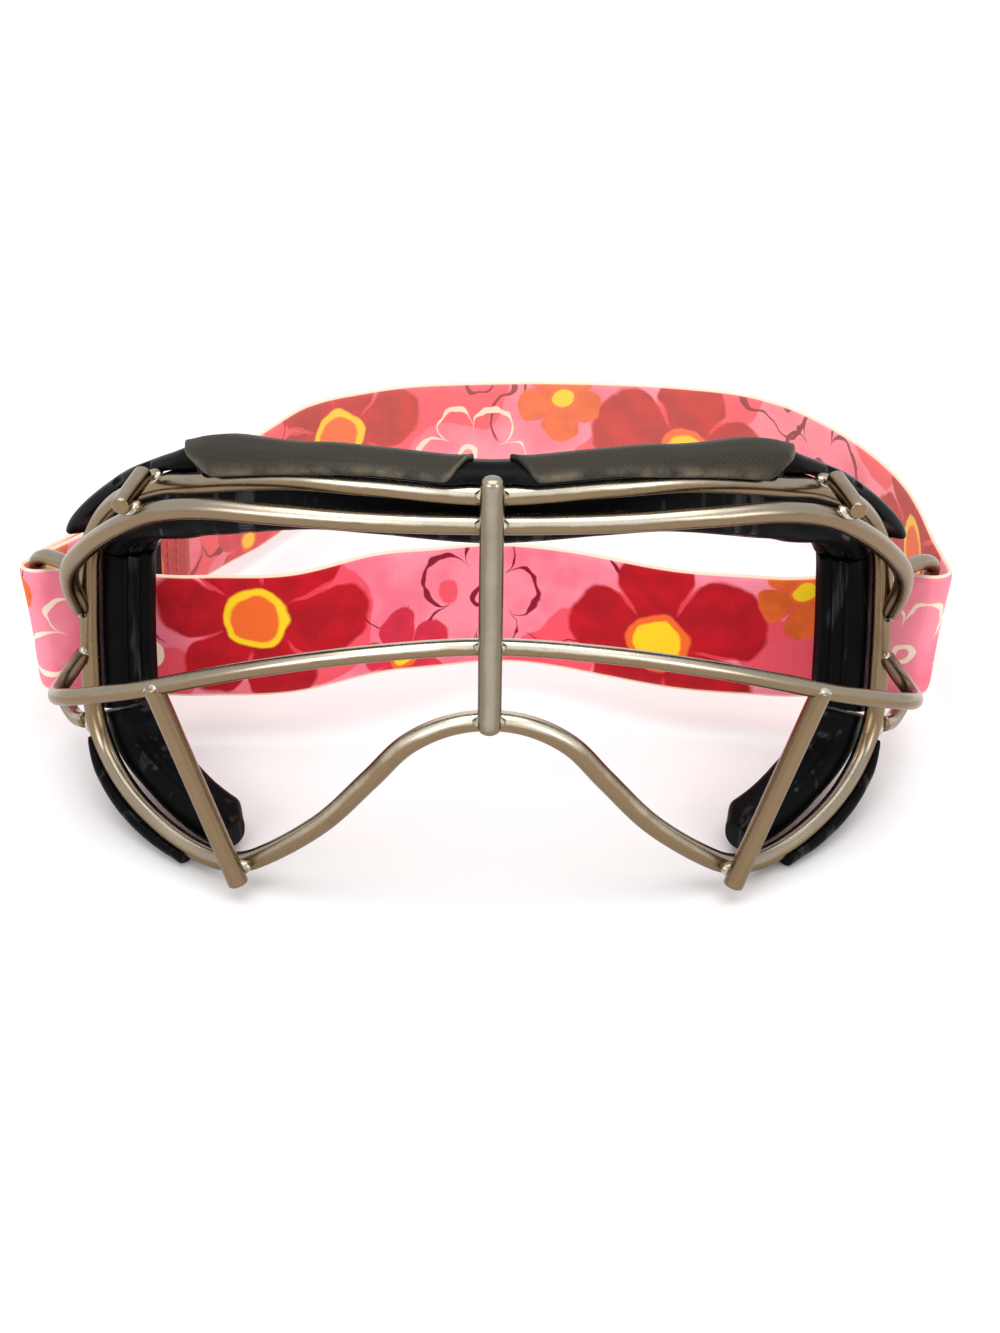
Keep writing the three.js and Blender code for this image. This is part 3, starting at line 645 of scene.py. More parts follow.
def in_scene(points: Array) -> list[list[float]]:
    """Points of the upright cage, in the scene's metres."""
    return ((points @ np.array(UPRIGHT_TURN).T + np.array(UPRIGHT_OFFSET)) * MM).tolist()


def apply_modifiers(piece: Thing) -> None:
    """Turns a piece with modifiers into a plain mesh."""
    bpy.context.view_layer.update()
    evaluated = piece.evaluated_get(bpy.context.evaluated_depsgraph_get())
    plain = bpy.data.meshes.new_from_object(evaluated)
    piece.modifiers.clear()
    piece.data = plain


def store(mesh: bpy.types.Mesh, name: str, values: Sequence, vectors: bool = False) -> None:
    """Gives each point of a mesh a named value or vector."""
    layer = mesh.attributes.new(name, "FLOAT_VECTOR" if vectors else "FLOAT", "POINT")
    layer.data.foreach_set("vector" if vectors else "value", np.array(values, dtype=np.float32))


def finish_piece(piece: Thing, body: str, material: Material, slot: Slot, *replaced: str) -> None:
    """Dresses a piece, lets it ride on its body and stand for CAD nodes.

    Args:
        piece: the finished object.
        body: the CAD body that carries it.
        material: its finish.
        slot: the record's material slot that the finish belongs to; not used.
        replaced: the CAD nodes that it stands for.
    """
    piece.data.materials.clear()
    piece.data.materials.append(material)
    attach(piece, body)
    if replaced:
        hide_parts(*replaced)
    log.info("%s: %d faces", piece.name, len(piece.data.polygons))


def finish_steel(piece: Thing, steel: Material, *replaced: str) -> None:
    """Dresses steel and stores how far it faces up, and away from the head or towards it, as the mask of its
    painted light.

    Args:
        piece: the finished wire or welds.
        steel: its finish.
        replaced: the CAD nodes that it stands for.
    """
    mesh = piece.data
    normals, places = (np.empty(len(mesh.vertices) * 3, dtype=np.float32) for _ in range(2))
    mesh.vertices.foreach_get("normal", normals)
    mesh.vertices.foreach_get("co", places)
    normals = normals.reshape(-1, 3)
    radial = unit_rows(places.reshape(-1, 3)[:, :2] - np.array([0.0, 0.004]))
    outward = (normals[:, :2] * radial).sum(axis=1)
    # Painted light mask: high on the tops and on faces away from the head, low underneath and on the flanks
    # towards the black pads, for painted reflection and shade.
    store(mesh, "upward", 0.7 * normals[:, 2] + 0.45 * np.where(outward > 0, outward, -0.6 * outward))
    finish_piece(piece, CAGE, steel, Slot.STEEL, *replaced)


# Lines and skins in the upright cage's millimetres


def unit(vector: Array) -> Array:
    """A vector's direction."""
    return vector / np.linalg.norm(vector)


def unit_rows(vectors: Array) -> Array:
    """The direction of each row."""
    return vectors / np.linalg.norm(vectors, axis=1)[:, None]


def ramp(value: float | Array, start: float, stop: float) -> float | Array:
    """A smooth step from 0 at start to 1 at stop."""
    share = np.clip((value - start) / (stop - start), 0.0, 1.0)
    return share * share * (3 - 2 * share)


def between(first: float, second: float, share: float) -> float:
    """A value part of the way from the first to the second."""
    return first + (second - first) * share


def lengths_along(points: Array) -> Array:
    """How far along a line each of its points lies."""
    return np.concatenate([[0.0], np.cumsum(np.linalg.norm(np.diff(points, axis=0), axis=1))])


def points_along(points: Array, places: Array) -> Array:
    """Points at given lengths along a line."""
    run = lengths_along(points)
    return np.column_stack([np.interp(places, run, column) for column in points.T])


def mirrored(point: Sequence[float]) -> Array:
    """A point or a direction on the other side of the middle."""
    return np.array([-point[0], *point[1:]], float)


class Spline:
    """A smooth line through marked points, open or closed, like wire bent to marks."""

    def __init__(self, points: Sequence[Sequence[float]], closed: bool = False) -> None:
        """Takes the marked points."""
        self.points = [np.array(point, float) for point in points]
        self.closed = closed
        self.spans = len(points) - (0 if closed else 1)

    def mirrored(self) -> "Spline":
        """The open line on the other side of the middle."""
        return Spline([mirrored(point) for point in self.points])

    def _mark(self, index: int) -> Array:
        """A marked point, or the one that would lie beyond an open end."""
        if self.closed:
            return self.points[index % len(self.points)]
        if index < 0:
            return 2 * self.points[0] - self.points[1]
        if index >= len(self.points):
            return 2 * self.points[-1] - self.points[-2]
        return self.points[index]

    def at(self, share: float) -> Array:
        """A point of the line, on its centripetal curve.

        Args:
            share: how far along, from 0 to 1, counted in spans.

        Returns:
            The point.
        """
        place = (share % 1.0 if self.closed else min(max(share, 0.0), 1.0)) * self.spans
        span = min(int(place), self.spans - 1)
        weight = place - span
        p0, p1, p2, p3 = (self._mark(span + step) for step in (-1, 0, 1, 2))
        d0, d1, d2 = (max(np.linalg.norm(b - a), 1e-8) ** 0.5 for a, b in ((p0, p1), (p1, p2), (p2, p3)))
        first = ((p1 - p0) / d0 - (p2 - p0) / (d0 + d1) + (p2 - p1) / d1) * d1
        last = ((p2 - p1) / d1 - (p3 - p1) / (d1 + d2) + (p3 - p2) / d2) * d1
        square = -3 * p1 + 3 * p2 - 2 * first - last
        cube = 2 * p1 - 2 * p2 + first + last
        return p1 + weight * (first + weight * (square + weight * cube))

    def along(self, share: float) -> Array:
        """The line's direction at a share of it."""
        low, high = share - 0.0001, share + 0.0001
        return unit(self.at(high) - self.at(low))

    def where(self, axis: int, value: float, start: float, stop: float) -> float:
        """The share at which one coordinate takes a value.

        Args:
            axis: 0, 1 or 2 for X, Y or Z.
            value: the coordinate looked for.
            start, stop: the shares to look between, where the coordinate only rises or only falls.

        Returns:
            The share.
        """
        rising = self.at(stop)[axis] > self.at(start)[axis]
        for _ in range(40):
            middle = (start + stop) / 2
            if (self.at(middle)[axis] < value) == rising:
                start = middle
            else:
                stop = middle
        return (start + stop) / 2

    def even(self, pitch: float) -> Array:
        """Points at an even pitch in millimetres, one row for each."""
        fine = np.array([self.at(share) for share in np.linspace(0.0, 1.0, 40 * self.spans + 1)])
        length = lengths_along(fine)[-1]
        return points_along(fine, np.linspace(0.0, length, max(2, round(length / pitch) + 1)))


@dataclass
class Mark:
    """A place on a wire: its line, the share of the line, and the wire's diameter."""

    line: Spline
    share: float
    wire: float

    @property
    def place(self) -> Array:
        """The point on the wire's axis."""
        return self.line.at(self.share)

    @property
    def along(self) -> Array:
        """The wire's direction."""
        return self.line.along(self.share)


def skin(name: str, rings: Array, looped: bool = False) -> Thing:
    """Joins rings of points into one closed surface, with its ends closed unless it is a loop.

    Args:
        name: the new object's name.
        rings: an array of rings by points by three, in the upright cage's millimetres.
        looped: whether the last ring joins the first.

    Returns:
        The new object, in the scene's metres.
    """
    count, sides = rings.shape[:2]
    faces = []
    for row in range(count if looped else count - 1):
        here, there = row * sides, ((row + 1) % count) * sides
        for side in range(sides):
            beside = (side + 1) % sides
            faces.append((here + side, here + beside, there + beside, there + side))
    if not looped:
        last = (count - 1) * sides
        faces.append(tuple(range(sides))[::-1])
        faces.append(tuple(range(last, last + sides)))
    piece = new_piece(name, in_scene(rings.reshape(-1, 3)), faces=faces)
    shell = bmesh.new()
    shell.from_mesh(piece.data)
    if shell.calc_volume(signed=True) < 0:
        bmesh.ops.reverse_faces(shell, faces=shell.faces)
    for face in shell.faces:
        face.smooth = True
    shell.to_mesh(piece.data)
    shell.free()
    return piece


def tube(
    name: str, path: Array, diameter: float, sides: int = 28, looped: bool = False, nose: Pair = (0.16, 0.45)
) -> Thing:
    """A round wire along a path, its cut ends dressed to domes.

    Args:
        name: the new object's name.
        path: the wire's axis, one row for each point.
        diameter: the wire's diameter.
        sides: points round the wire.
        looped: whether the wire is a closed ring.
        nose: an end's reach as a share of the diameter, and how square it is, from 0 for flat to 1 for round.

    Returns:
        The new object.
    """
    points = path[:-1] if looped else path
    ways = np.roll(points, -1, axis=0) - np.roll(points, 1, axis=0) if looped else np.gradient(points, axis=0)
    ways = unit_rows(ways)
    normal = unit(np.cross(ways[0], [0.31, 0.17, 0.93]))
    sections = []
    for point, way in zip(points, ways):
        normal = unit(normal - way * np.dot(normal, way))
        sections.append((point, way, normal, diameter / 2))
    if not looped:
        first, last = sections[0], sections[-1]
        for angle in np.linspace(0, math.pi / 2, 7)[1:-1]:
            out, radius = math.sin(angle) * diameter * nose[0], math.cos(angle) ** nose[1] * diameter / 2
            sections.insert(0, (first[0] - first[1] * out, first[1], first[2], radius))
            sections.append((last[0] + last[1] * out, last[1], last[2], radius))
    angles = np.linspace(0, math.tau, sides, endpoint=False)
    rings = [
        centre + radius * (np.outer(np.cos(angles), normal) + np.outer(np.sin(angles), np.cross(way, normal)))
        for centre, way, normal, radius in sections
    ]
    return skin(name, np.array(rings), looped)


def wire_pair(node: str, line: Spline, diameter: float, pitch: float, steel: Material) -> None:
    """Makes and dresses a wire and its mirror image.

    Args:
        node: what the two CAD nodes' names begin with.
        line: the right wire's axis.
        diameter: the wires' diameter.
        pitch: millimetres from ring to ring.
        steel: the finish.
    """
    for side in Side:
        path = (line if side is Side.RIGHT else line.mirrored()).even(pitch)
        finish_steel(tube(f"{node}_wire_{side.value}", path, diameter), steel, f"{node}_{side.value}")


def rounded_ring(corners: Sequence[Pair], radius: float, bends: int, runs: int) -> Array:
    """A closed outline with its corners rounded and its sides divided.

    Args:
        corners: the outline's corners.
        radius: how far the rounding reaches from each corner.
        bends: divisions in a rounding.
        runs: divisions in a side.

    Returns:
        One row for each point.
    """
    marks = [np.array(corner, float) for corner in corners]
    points = []
    for index, corner in enumerate(marks):
        following = marks[(index + 1) % len(marks)]
        before, after = marks[index - 1] - corner, following - corner
        start, stop = (
            corner + unit(way) * min(radius, 0.45 * np.linalg.norm(way)) for way in (before, after)
        )
        for share in np.linspace(0, 1, bends + 1):
            points.append((1 - share) ** 2 * start + 2 * share * (1 - share) * corner + share**2 * stop)
        onward = following - (stop - corner) - stop
        points.extend(stop + onward * step / runs for step in range(1, runs))
    return np.array(points)


# The rim, which carries everything


@dataclass
class RimFrame:
    """A place on the rim: its point, the way out of the face, and the way from the eye opening."""

    origin: Array
    out: Array
    away: Array

    def point(self, outward: float, awayward: float) -> Array:
        """A point so far out and so far away from the rim's axis."""
        return self.origin + self.out * outward + self.away * awayward


Section = Callable[[float, float, RimFrame], Array]


def eased_shares(start: float, stop: float, count: int, reach: float, ends: int = 8) -> list[float]:
    """Shares from start to stop, closer together at both ends.

    Args:
        start, stop: the first and the last share.
        count: sections between the ends.
        reach: how much of the run each end takes.
        ends: extra sections in each end.

    Returns:
        The shares in order.
    """
    opening = [reach * (1 - math.cos(step / ends * math.pi / 2)) for step in range(ends)]
    closing = [1 - share for share in reversed(opening)]
    shares = (*opening, *np.linspace(reach, 1 - reach, count), *closing)
    return [between(start, stop, share) for share in shares]


def end_roundness(progress: float, reach: float) -> float:
    """How full a band's section is near its rounded ends, from 0 at the very end to 1 inside."""
    near = min(progress, 1 - progress, reach) / reach
    return math.sqrt(max(0.0, 1 - (1 - near) ** 2))


@dataclass
class Rim:
    """The closed ring of wire round the face opening. Its marks are shares across, back and up."""

    wire: float = 4.0
    nose_bridge: float = 38.6
    centre_wire: float = 4.4
    face_axis: float = 1.978 * WRAP
    upper_shares: tuple[Triple, ...] = (
        (0, 0, 1), (0.283, 0.066, 1.006), (0.463, 0.187, 0.992), (0.694, 0.429, 0.929), (0.79, 0.582, 0.889),
        (0.913, 0.813, 0.791), (0.983, 0.967, 0.659), (0.997, 1, 0.514), (1, 1, 0.346), (0.994, 0.978, 0.226),
        (0.964, 0.901, 0.144), (0.9, 0.736, 0.081), (0.816, 0.582, 0.035), (0.733, 0.468, 0.007),
        (0.662, 0.385, 0),
    )
    nose_shares: tuple[Triple, ...] = (
        (0.598, 0.319, 0.031), (0.533, 0.266, 0.114), (0.398, 0.165, 0.35), (0.283, 0.09, 0.63),
        (0.193, 0.037, 0.85), (0.096, 0.009, 0.966), (0, 0, 1),
    )
    line: Spline = field(init=False)

    def __post_init__(self) -> None:
        """Bends the ring."""
        front = self.front_seat(self.wire)
        right = [
            np.array([x * HALF_WIDTH, front + y * WRAP, z * height])
            for shares, height in ((self.upper_shares, HEIGHT), (self.nose_shares, self.nose_bridge))
            for x, y, z in shares
        ]
        self.line = Spline([*right, *(mirrored(point) for point in right[-2:0:-1])], closed=True)
        self.widest = [share[0] for share in self.upper_shares].index(1) / self.line.spans
        self.lowest = (len(self.upper_shares) - 1) / self.line.spans

    def front_seat(self, diameter: float) -> float:
        """Y of a wire's axis where it lies against the centre bar."""
        return self.centre_wire / 2 + SEAT_GAP + diameter / 2

    def top(self, x: float) -> float:
        """The share of the ring's top run at X."""
        return self.line.where(0, x, 0.0, self.widest)

    def side(self, height: float) -> float:
        """The share of the ring's side at a height."""
        return self.line.where(2, height, 0.0, self.lowest)

    def bottom(self, x: float) -> float:
        """The share of the ring's lower run at X."""
        return self.line.where(0, x, self.widest, 0.5)

    def frame(self, share: float) -> RimFrame:
        """The rim's frame.

        Args:
            share: the share of the ring, negative on the left.

        Returns:
            The frame there.
        """
        origin, along = self.line.at(share), self.line.along(share)
        out = unit(np.array([origin[0], origin[1] - self.face_axis, 0.0]))
        out = unit(out - along * np.dot(out, along))
        return RimFrame(origin, out, np.cross(out, along))

    def band(self, name: str, shares: Sequence[float], section: Section) -> Thing:
        """A moulded band that follows the rim.

        Args:
            name: the new object's name.
            shares: the places of its sections along the ring.
            section: gives the outline, in outward and away, at a progress from 0 to 1, a share and its frame.

        Returns:
            The new object.
        """
        rings = []
        for index, share in enumerate(shares):
            place = self.frame(share)
            outline = section(index / (len(shares) - 1), share, place)
            rings.append([place.point(x, y) for x, y in outline])
        return skin(name, np.array(rings))

    def build(self, steel: Material) -> None:
        """Bends and dresses the rim."""
        piece = tube("rim_wire", self.line.even(1.0), self.wire, sides=32, looped=True)
        finish_steel(piece, steel, "main_rim")


# Wires in front of the rim and behind it


@dataclass
class Bars:
    """The two long outer bars and the upright in the middle. Marks are shares of half span, wrap and fall."""

    rim: Rim
    upper_wire: float = 3.9
    middle_wire: float = 3.3
    upper_height: float = 77.6
    upper_overhang: float = 2.8
    upper_weld: float = 0.495 * HEIGHT
    middle_height: float = 0.645 * HEIGHT
    middle_fall: float = 0.291 * HEIGHT
    middle_overhang: float = 5.2
    middle_weld: float = 0.371 * HEIGHT
    centre_top: float = 87.0
    centre_stop: float = 1.0
    centre_nose: Pair = (0.35, 0.7)
    end_depth: float = 0.45
    weld_angle: float = math.radians(36)
    upper_shares: tuple[Triple, ...] = (
        (0, 0, 0), (0.273, 0.031, 0.003), (0.496, 0.11, 0.01), (0.658, 0.215, 0.037), (0.763, 0.321, 0.112),
        (0.844, 0.435, 0.238), (0.931, 0.607, 0.444), (0.99, 0.787, 0.666), (0.998, 0.888, 0.825),
    )
    middle_shares: tuple[Triple, ...] = (
        (0, 0, 0), (0.265, 0.041, 0.1), (0.518, 0.135, 0.31), (0.663, 0.225, 0.485), (0.783, 0.326, 0.66),
        (0.892, 0.44, 0.81), (0.967, 0.55, 0.93), (1, 0.68, 1.03), (0.992, 0.81, 1.04),
    )
    upper: Spline = field(init=False)
    middle: Spline = field(init=False)

    def __post_init__(self) -> None:
        """Bends the outer bars."""
        self.upper = self._bar(
            self.upper_shares, self.upper_wire, self.upper_overhang,
            self.upper_height, self.upper_height - self.upper_weld, self.upper_weld,
        )
        self.middle = self._bar(
            self.middle_shares, self.middle_wire, self.middle_overhang,
            self.middle_height, self.middle_fall, self.middle_weld,
        )

    def _bar(
        self, shares: Sequence[Triple], wire: float, overhang: float, height: float, fall: float, weld: float
    ) -> Spline:
        """One outer bar from end to end.

        Args:
            shares: its marks.
            wire: its diameter.
            overhang: how far it stands out past the rim's side.
            height: its middle's height.
            fall: from the middle down to where the shares are 1.
            weld: the height of its end on the rim's side.

        Returns:
            The bar's axis.
        """
        rim = self.rim
        half_span, front = HALF_WIDTH + overhang, rim.front_seat(wire)
        marks = [(x * half_span, front + y * WRAP, height - z * fall) for x, y, z in shares]
        outward = np.array([math.cos(self.weld_angle), -math.sin(self.weld_angle), 0.0])
        end = rim.line.at(rim.side(weld)) + outward * (rim.wire / 2 + SEAT_GAP + wire / 2) * self.end_depth
        right = [*marks, end]
        return Spline([*(mirrored(point) for point in right[:0:-1]), *right])

    def crossed(self, bar: Spline, x: float, wire: float) -> Mark:
        """The mark on an outer bar's right half at X."""
        return Mark(bar, bar.where(0, x, 0.5, 0.85), wire)

    def build(self, steel: Material) -> None:
        """Makes and dresses the three bars, the upright in a steel of its own, with its own painted highlight
        and shade tones.

        Args:
            steel: the outer bars' finish.
        """
        for name, line, wire in (
            ("upper_bar", self.upper, self.upper_wire),
            ("middle_bar", self.middle, self.middle_wire),
        ):
            finish_steel(tube(f"{name}_wire", line.even(1.0), wire), steel, name)
        # The upright's tones: a painted lit tone, a middle tone, and painted reflection and shade underneath.
        pale, plain, painted_underside = linear(154, 146, 130), linear(120, 109, 91), linear(76, 58, 36)
        upright = SatinSteel("upright_steel", pale, pale, plain, painted_underside, painted_lit_facing=(0.44, 0.6))
        line = Spline([(0, 0, self.centre_top), (0, 0, self.rim.nose_bridge + self.centre_stop)])
        piece = tube("centre_bar_wire", line.even(1.0), self.rim.centre_wire, nose=self.centre_nose)
        finish_steel(piece, upright.material(), "centre_bar")


@dataclass
class Strut:
    """A straight strut laid across two wires.

    It has the places that it crosses, roughly the way that it lies from them, its diameter, how far it runs
    on past each wire, and how far its first end stands off, from 0 for butted to 1 for lapped.
    """

    kind: str
    marks: tuple[Mark, Mark]
    side: Triple
    wire: float
    tails: Pair
    lap: float

    def axis(self) -> Spline:
        """Seats the strut beside both wires.

        Returns:
            The strut's axis.
        """
        direction = unit(self.marks[1].place - self.marks[0].place)
        seats = []
        for mark, share in zip(self.marks, (self.lap, 1.0)):
            normal = unit(np.cross(mark.along, direction))
            normal *= math.copysign(1.0, np.dot(normal, self.side))
            seats.append(mark.place + normal * ((mark.wire + self.wire) / 2 + SEAT_GAP) * share)
        along = unit(seats[1] - seats[0])
        return Spline([seats[0] - along * self.tails[0], seats[1] + along * self.tails[1]])


@dataclass
class Struts:
    """The two short brow struts and the two straight cheek struts."""

    rim: Rim
    bars: Bars
    brow_wire: float = 3.7
    brow_rim_x: float = 0.787 * HALF_WIDTH
    brow_bar_x: float = 0.83 * HALF_WIDTH
    brow_tails: Pair = (-2.2, 1.9)
    cheek_wire: float = 4.0
    cheek_bar_x: float = 0.802 * HALF_WIDTH
    cheek_rim_x: float = 0.596 * HALF_WIDTH
    cheek_tails: Pair = (0.0, 1.6)
    cheek_lap: float = 0.1

    def right(self) -> tuple[Strut, Strut]:
        """Lays out the right side's struts.

        Returns:
            The brow strut, down to the upper bar, and the cheek strut, down to the rim.
        """
        rim, bars = self.rim, self.bars
        brow = (
            Mark(rim.line, rim.top(self.brow_rim_x), rim.wire),
            bars.crossed(bars.upper, self.brow_bar_x, bars.upper_wire),
        )
        cheek = (
            bars.crossed(bars.middle, self.cheek_bar_x, bars.middle_wire),
            Mark(rim.line, rim.bottom(self.cheek_rim_x), rim.wire),
        )
        return (
            Strut("brow", brow, (0, -1, 1), self.brow_wire, self.brow_tails, 1.0),
            Strut("cheek", cheek, (0, -1, 0), self.cheek_wire, self.cheek_tails, self.cheek_lap),
        )

    def build(self, steel: Material) -> None:
        """Makes and dresses the four struts."""
        for strut in self.right():
            wire_pair(f"{strut.kind}_strut", strut.axis(), strut.wire, 0.8, steel)


@dataclass
class StrapLoops:
    """The wire loops behind the rim's sides that the strap is threaded through."""

    rim: Rim
    wire: float = 3.2
    outer_x: float = HALF_WIDTH + 9.6
    outer_y: float = WRAP + 17.5
    lean: float = 0.12
    lower_drop: float = 1.95
    upper_lift: float = 3.4
    margin: float = 2.0
    bend_depth: float = 3.0
    corner_depth: float = 2.0
    bend_share: float = 0.64
    corner_share: float = 0.22
    weld_angle: float = math.radians(42)
    strap_height: float = 0.374 * HEIGHT

    def line(self) -> Spline:
        """Bends the right loop.

        Returns:
            Its axis, from its lower weld round to its upper one.
        """
        rim = self.rim
        foot, head = self.strap_height - STRAP_WIDTH / 2, self.strap_height + STRAP_WIDTH / 2
        backward = np.array([math.cos(self.weld_angle), math.sin(self.weld_angle), 0.0])
        standoff = backward * ((rim.wire + self.wire) / 2 + SEAT_GAP)
        welds = (foot - self.lower_drop, head + self.upper_lift)
        low, high = (rim.line.at(rim.side(height)) + standoff for height in welds)

        def outer(height: float) -> Array:
            """A point of the upright run."""
            return np.array([self.outer_x + self.lean * (height - self.strap_height), self.outer_y, height])

        def inward(start: Array, weld: Array, share: float, rise: float) -> Array:
            """A point of a bend, part of the way to its weld."""
            return np.array([*between(start, weld, share)[:2], start[2] + rise])

        foot_bend, head_bend = outer(foot - STRAP_GAP), outer(head + STRAP_GAP)
        return Spline([
            low,
            inward(foot_bend, low, self.bend_share, -self.bend_depth),
            inward(foot_bend, low, self.corner_share, -self.corner_depth),
            foot_bend,
            outer(foot + self.margin),
            outer(self.strap_height),
            outer(head - self.margin),
            head_bend,
            inward(head_bend, high, self.corner_share, self.corner_depth),
            inward(head_bend, high, self.bend_share, self.bend_depth),
            high,
        ])

    def build(self, steel: Material) -> None:
        """Makes and dresses both loops."""
        wire_pair("strap_loop", self.line(), self.wire, 0.7, steel)


@dataclass
class Nugget:
    """One weld: its middle, its directions along two wires, and its half sizes."""

    place: Array
    first: Array
    second: Array
    half: Array

    def mirrored(self) -> "Nugget":
        """The same weld on the other side."""
        return Nugget(mirrored(self.place), mirrored(self.first), mirrored(self.second), self.half)


@dataclass
class Welds:
    """The weld nuggets at every crossing and at every wire end."""

    rim: Rim
    bars: Bars
    struts: Struts
    loops: StrapLoops
    crossing: float = 0.54
    fillet: float = 0.5
    lift: float = 0.9
    middle_reach: float = 0.75
    plain_reach: float = 0.4
    middle_squat: float = 0.5
    strut_squat: float = 0.62
    butted: float = 1.85
    thin: float = 0.3
    skin: float = 0.2
    ripple: float = 0.00008
    ripple_scale: float = 900.0
    seed: float = 4.0

    def _nugget(
        self,
        touch: Array,
        mark: Mark,
        second: Array,
        wire: float,
        reach: float,
        squat: float,
        thick: float = 0.0,
    ) -> Nugget:
        """One weld where a wire touches another.

        Args:
            touch: where they touch.
            mark: the place on the first wire.
            second, wire: the other wire's direction and diameter.
            reach: how far the weld reaches past the other wire.
            squat: how much shorter it is along the other wire.
            thick: its half thickness, or 0 to follow the wires.

        Returns:
            The weld.
        """
        first = mark.along
        half = np.array([
            self.crossing * wire + reach,
            (self.crossing * mark.wire + self.fillet) * squat,
            thick or self.thin * (mark.wire + wire) / 2 + self.skin,
        ])
        return Nugget(touch, first, unit(second - first * np.dot(first, second) * 0.999), half)

    def _nuggets(self) -> list[Nugget]:
        """Finds where the wires meet.

        Returns:
            Four welds on the centre bar, and those of the struts and the wire ends on both sides.
        """
        rim, bars, middle, right = self.rim, self.bars, [], []
        for mark in (
            Mark(rim.line, 0.0, rim.wire), Mark(bars.upper, 0.5, bars.upper_wire),
            Mark(bars.middle, 0.5, bars.middle_wire), Mark(rim.line, 0.5, rim.wire),
        ):
            touch = np.array([0.0, rim.centre_wire / 2, mark.place[2] + self.lift])
            upright = np.array([0.0, 0.0, 1.0])
            middle.append(
                self._nugget(touch, mark, upright, rim.centre_wire, self.middle_reach, self.middle_squat)
            )
        for strut in self.struts.right():
            start, stop = strut.axis().points
            along = unit(stop - start)
            for mark in strut.marks:
                foot = start + along * np.dot(mark.place - start, along)
                touch = mark.place + (foot - mark.place) * mark.wire / (mark.wire + strut.wire)
                thick = self.butted if strut.lap < 1 and mark is strut.marks[0] else 0.0
                right.append(
                    self._nugget(touch, mark, along, strut.wire, self.plain_reach, self.strut_squat, thick)
                )
        loop = self.loops.line()
        for line, wire, share, sign in (
            (bars.upper, bars.upper_wire, 1.0, 1), (bars.middle, bars.middle_wire, 1.0, 1),
            (loop, self.loops.wire, 0.0, -1), (loop, self.loops.wire, 1.0, 1),
        ):
            end = line.at(share)
            mark = Mark(rim.line, rim.side(end[2]), rim.wire)
            touch = mark.place + (end - mark.place) * rim.wire / (rim.wire + wire)
            right.append(self._nugget(touch, mark, line.along(share) * sign, wire, self.plain_reach, 1.0))
        return [*middle, *right, *(nugget.mirrored() for nugget in right)]

    def build(self, weld: Material) -> None:
        """Lays one nugget on each place by a node tree, and gives it ripples.

        Args:
            weld: the finish.
        """
        nuggets = self._nuggets()
        piece = new_piece("weld_nuggets", in_scene(np.array([nugget.place for nugget in nuggets])))
        turns = []
        for nugget in nuggets:
            x, y = UPRIGHT_TURN @ Vector(nugget.first), UPRIGHT_TURN @ Vector(nugget.second)
            x = x.normalized()
            z = x.cross(y).normalized()
            turns.extend(Matrix((x, z.cross(x), z)).transposed().to_euler())
        store(piece.data, "turn", turns, vectors=True)
        store(piece.data, "size", np.concatenate([nugget.half for nugget in nuggets]) * MM, vectors=True)
        recipe = Recipe("weld_nugget_recipe")
        ripple, scale = recipe.size("Ripple", self.ripple), recipe.size("Ripple Scale", self.ripple_scale)
        ball = recipe.add("MeshIcoSphere", "Mesh", Radius=1.0, Subdivisions=5)
        kind, vectors = "GeometryNodeInputNamedAttribute", {"data_type": "FLOAT_VECTOR"}
        turn, size = (
            recipe.node(kind, vectors, {"Name": name}, "Attribute") for name in ("turn", "size")
        )
        place, normal = recipe.add("InputPosition", "Position"), recipe.add("InputNormal", "Normal")
        values = {"Vector": place, "W": self.seed, "Scale": scale, "Detail": 2.0}
        noise = recipe.node("ShaderNodeTexNoise", {"noise_dimensions": "4D"}, values)
        values = {"Vector": normal, "Scale": (noise - 0.5) * ripple * 2.0}
        push = recipe.node("ShaderNodeVectorMath", {"operation": "SCALE"}, values)
        solid = recipe.copies(recipe.geometry, ball, turn, size)
        recipe.run(piece, recipe.add("SetPosition", Geometry=solid, Offset=push), weld)
        finish_steel(piece, weld)


# The brow guard and its inserts


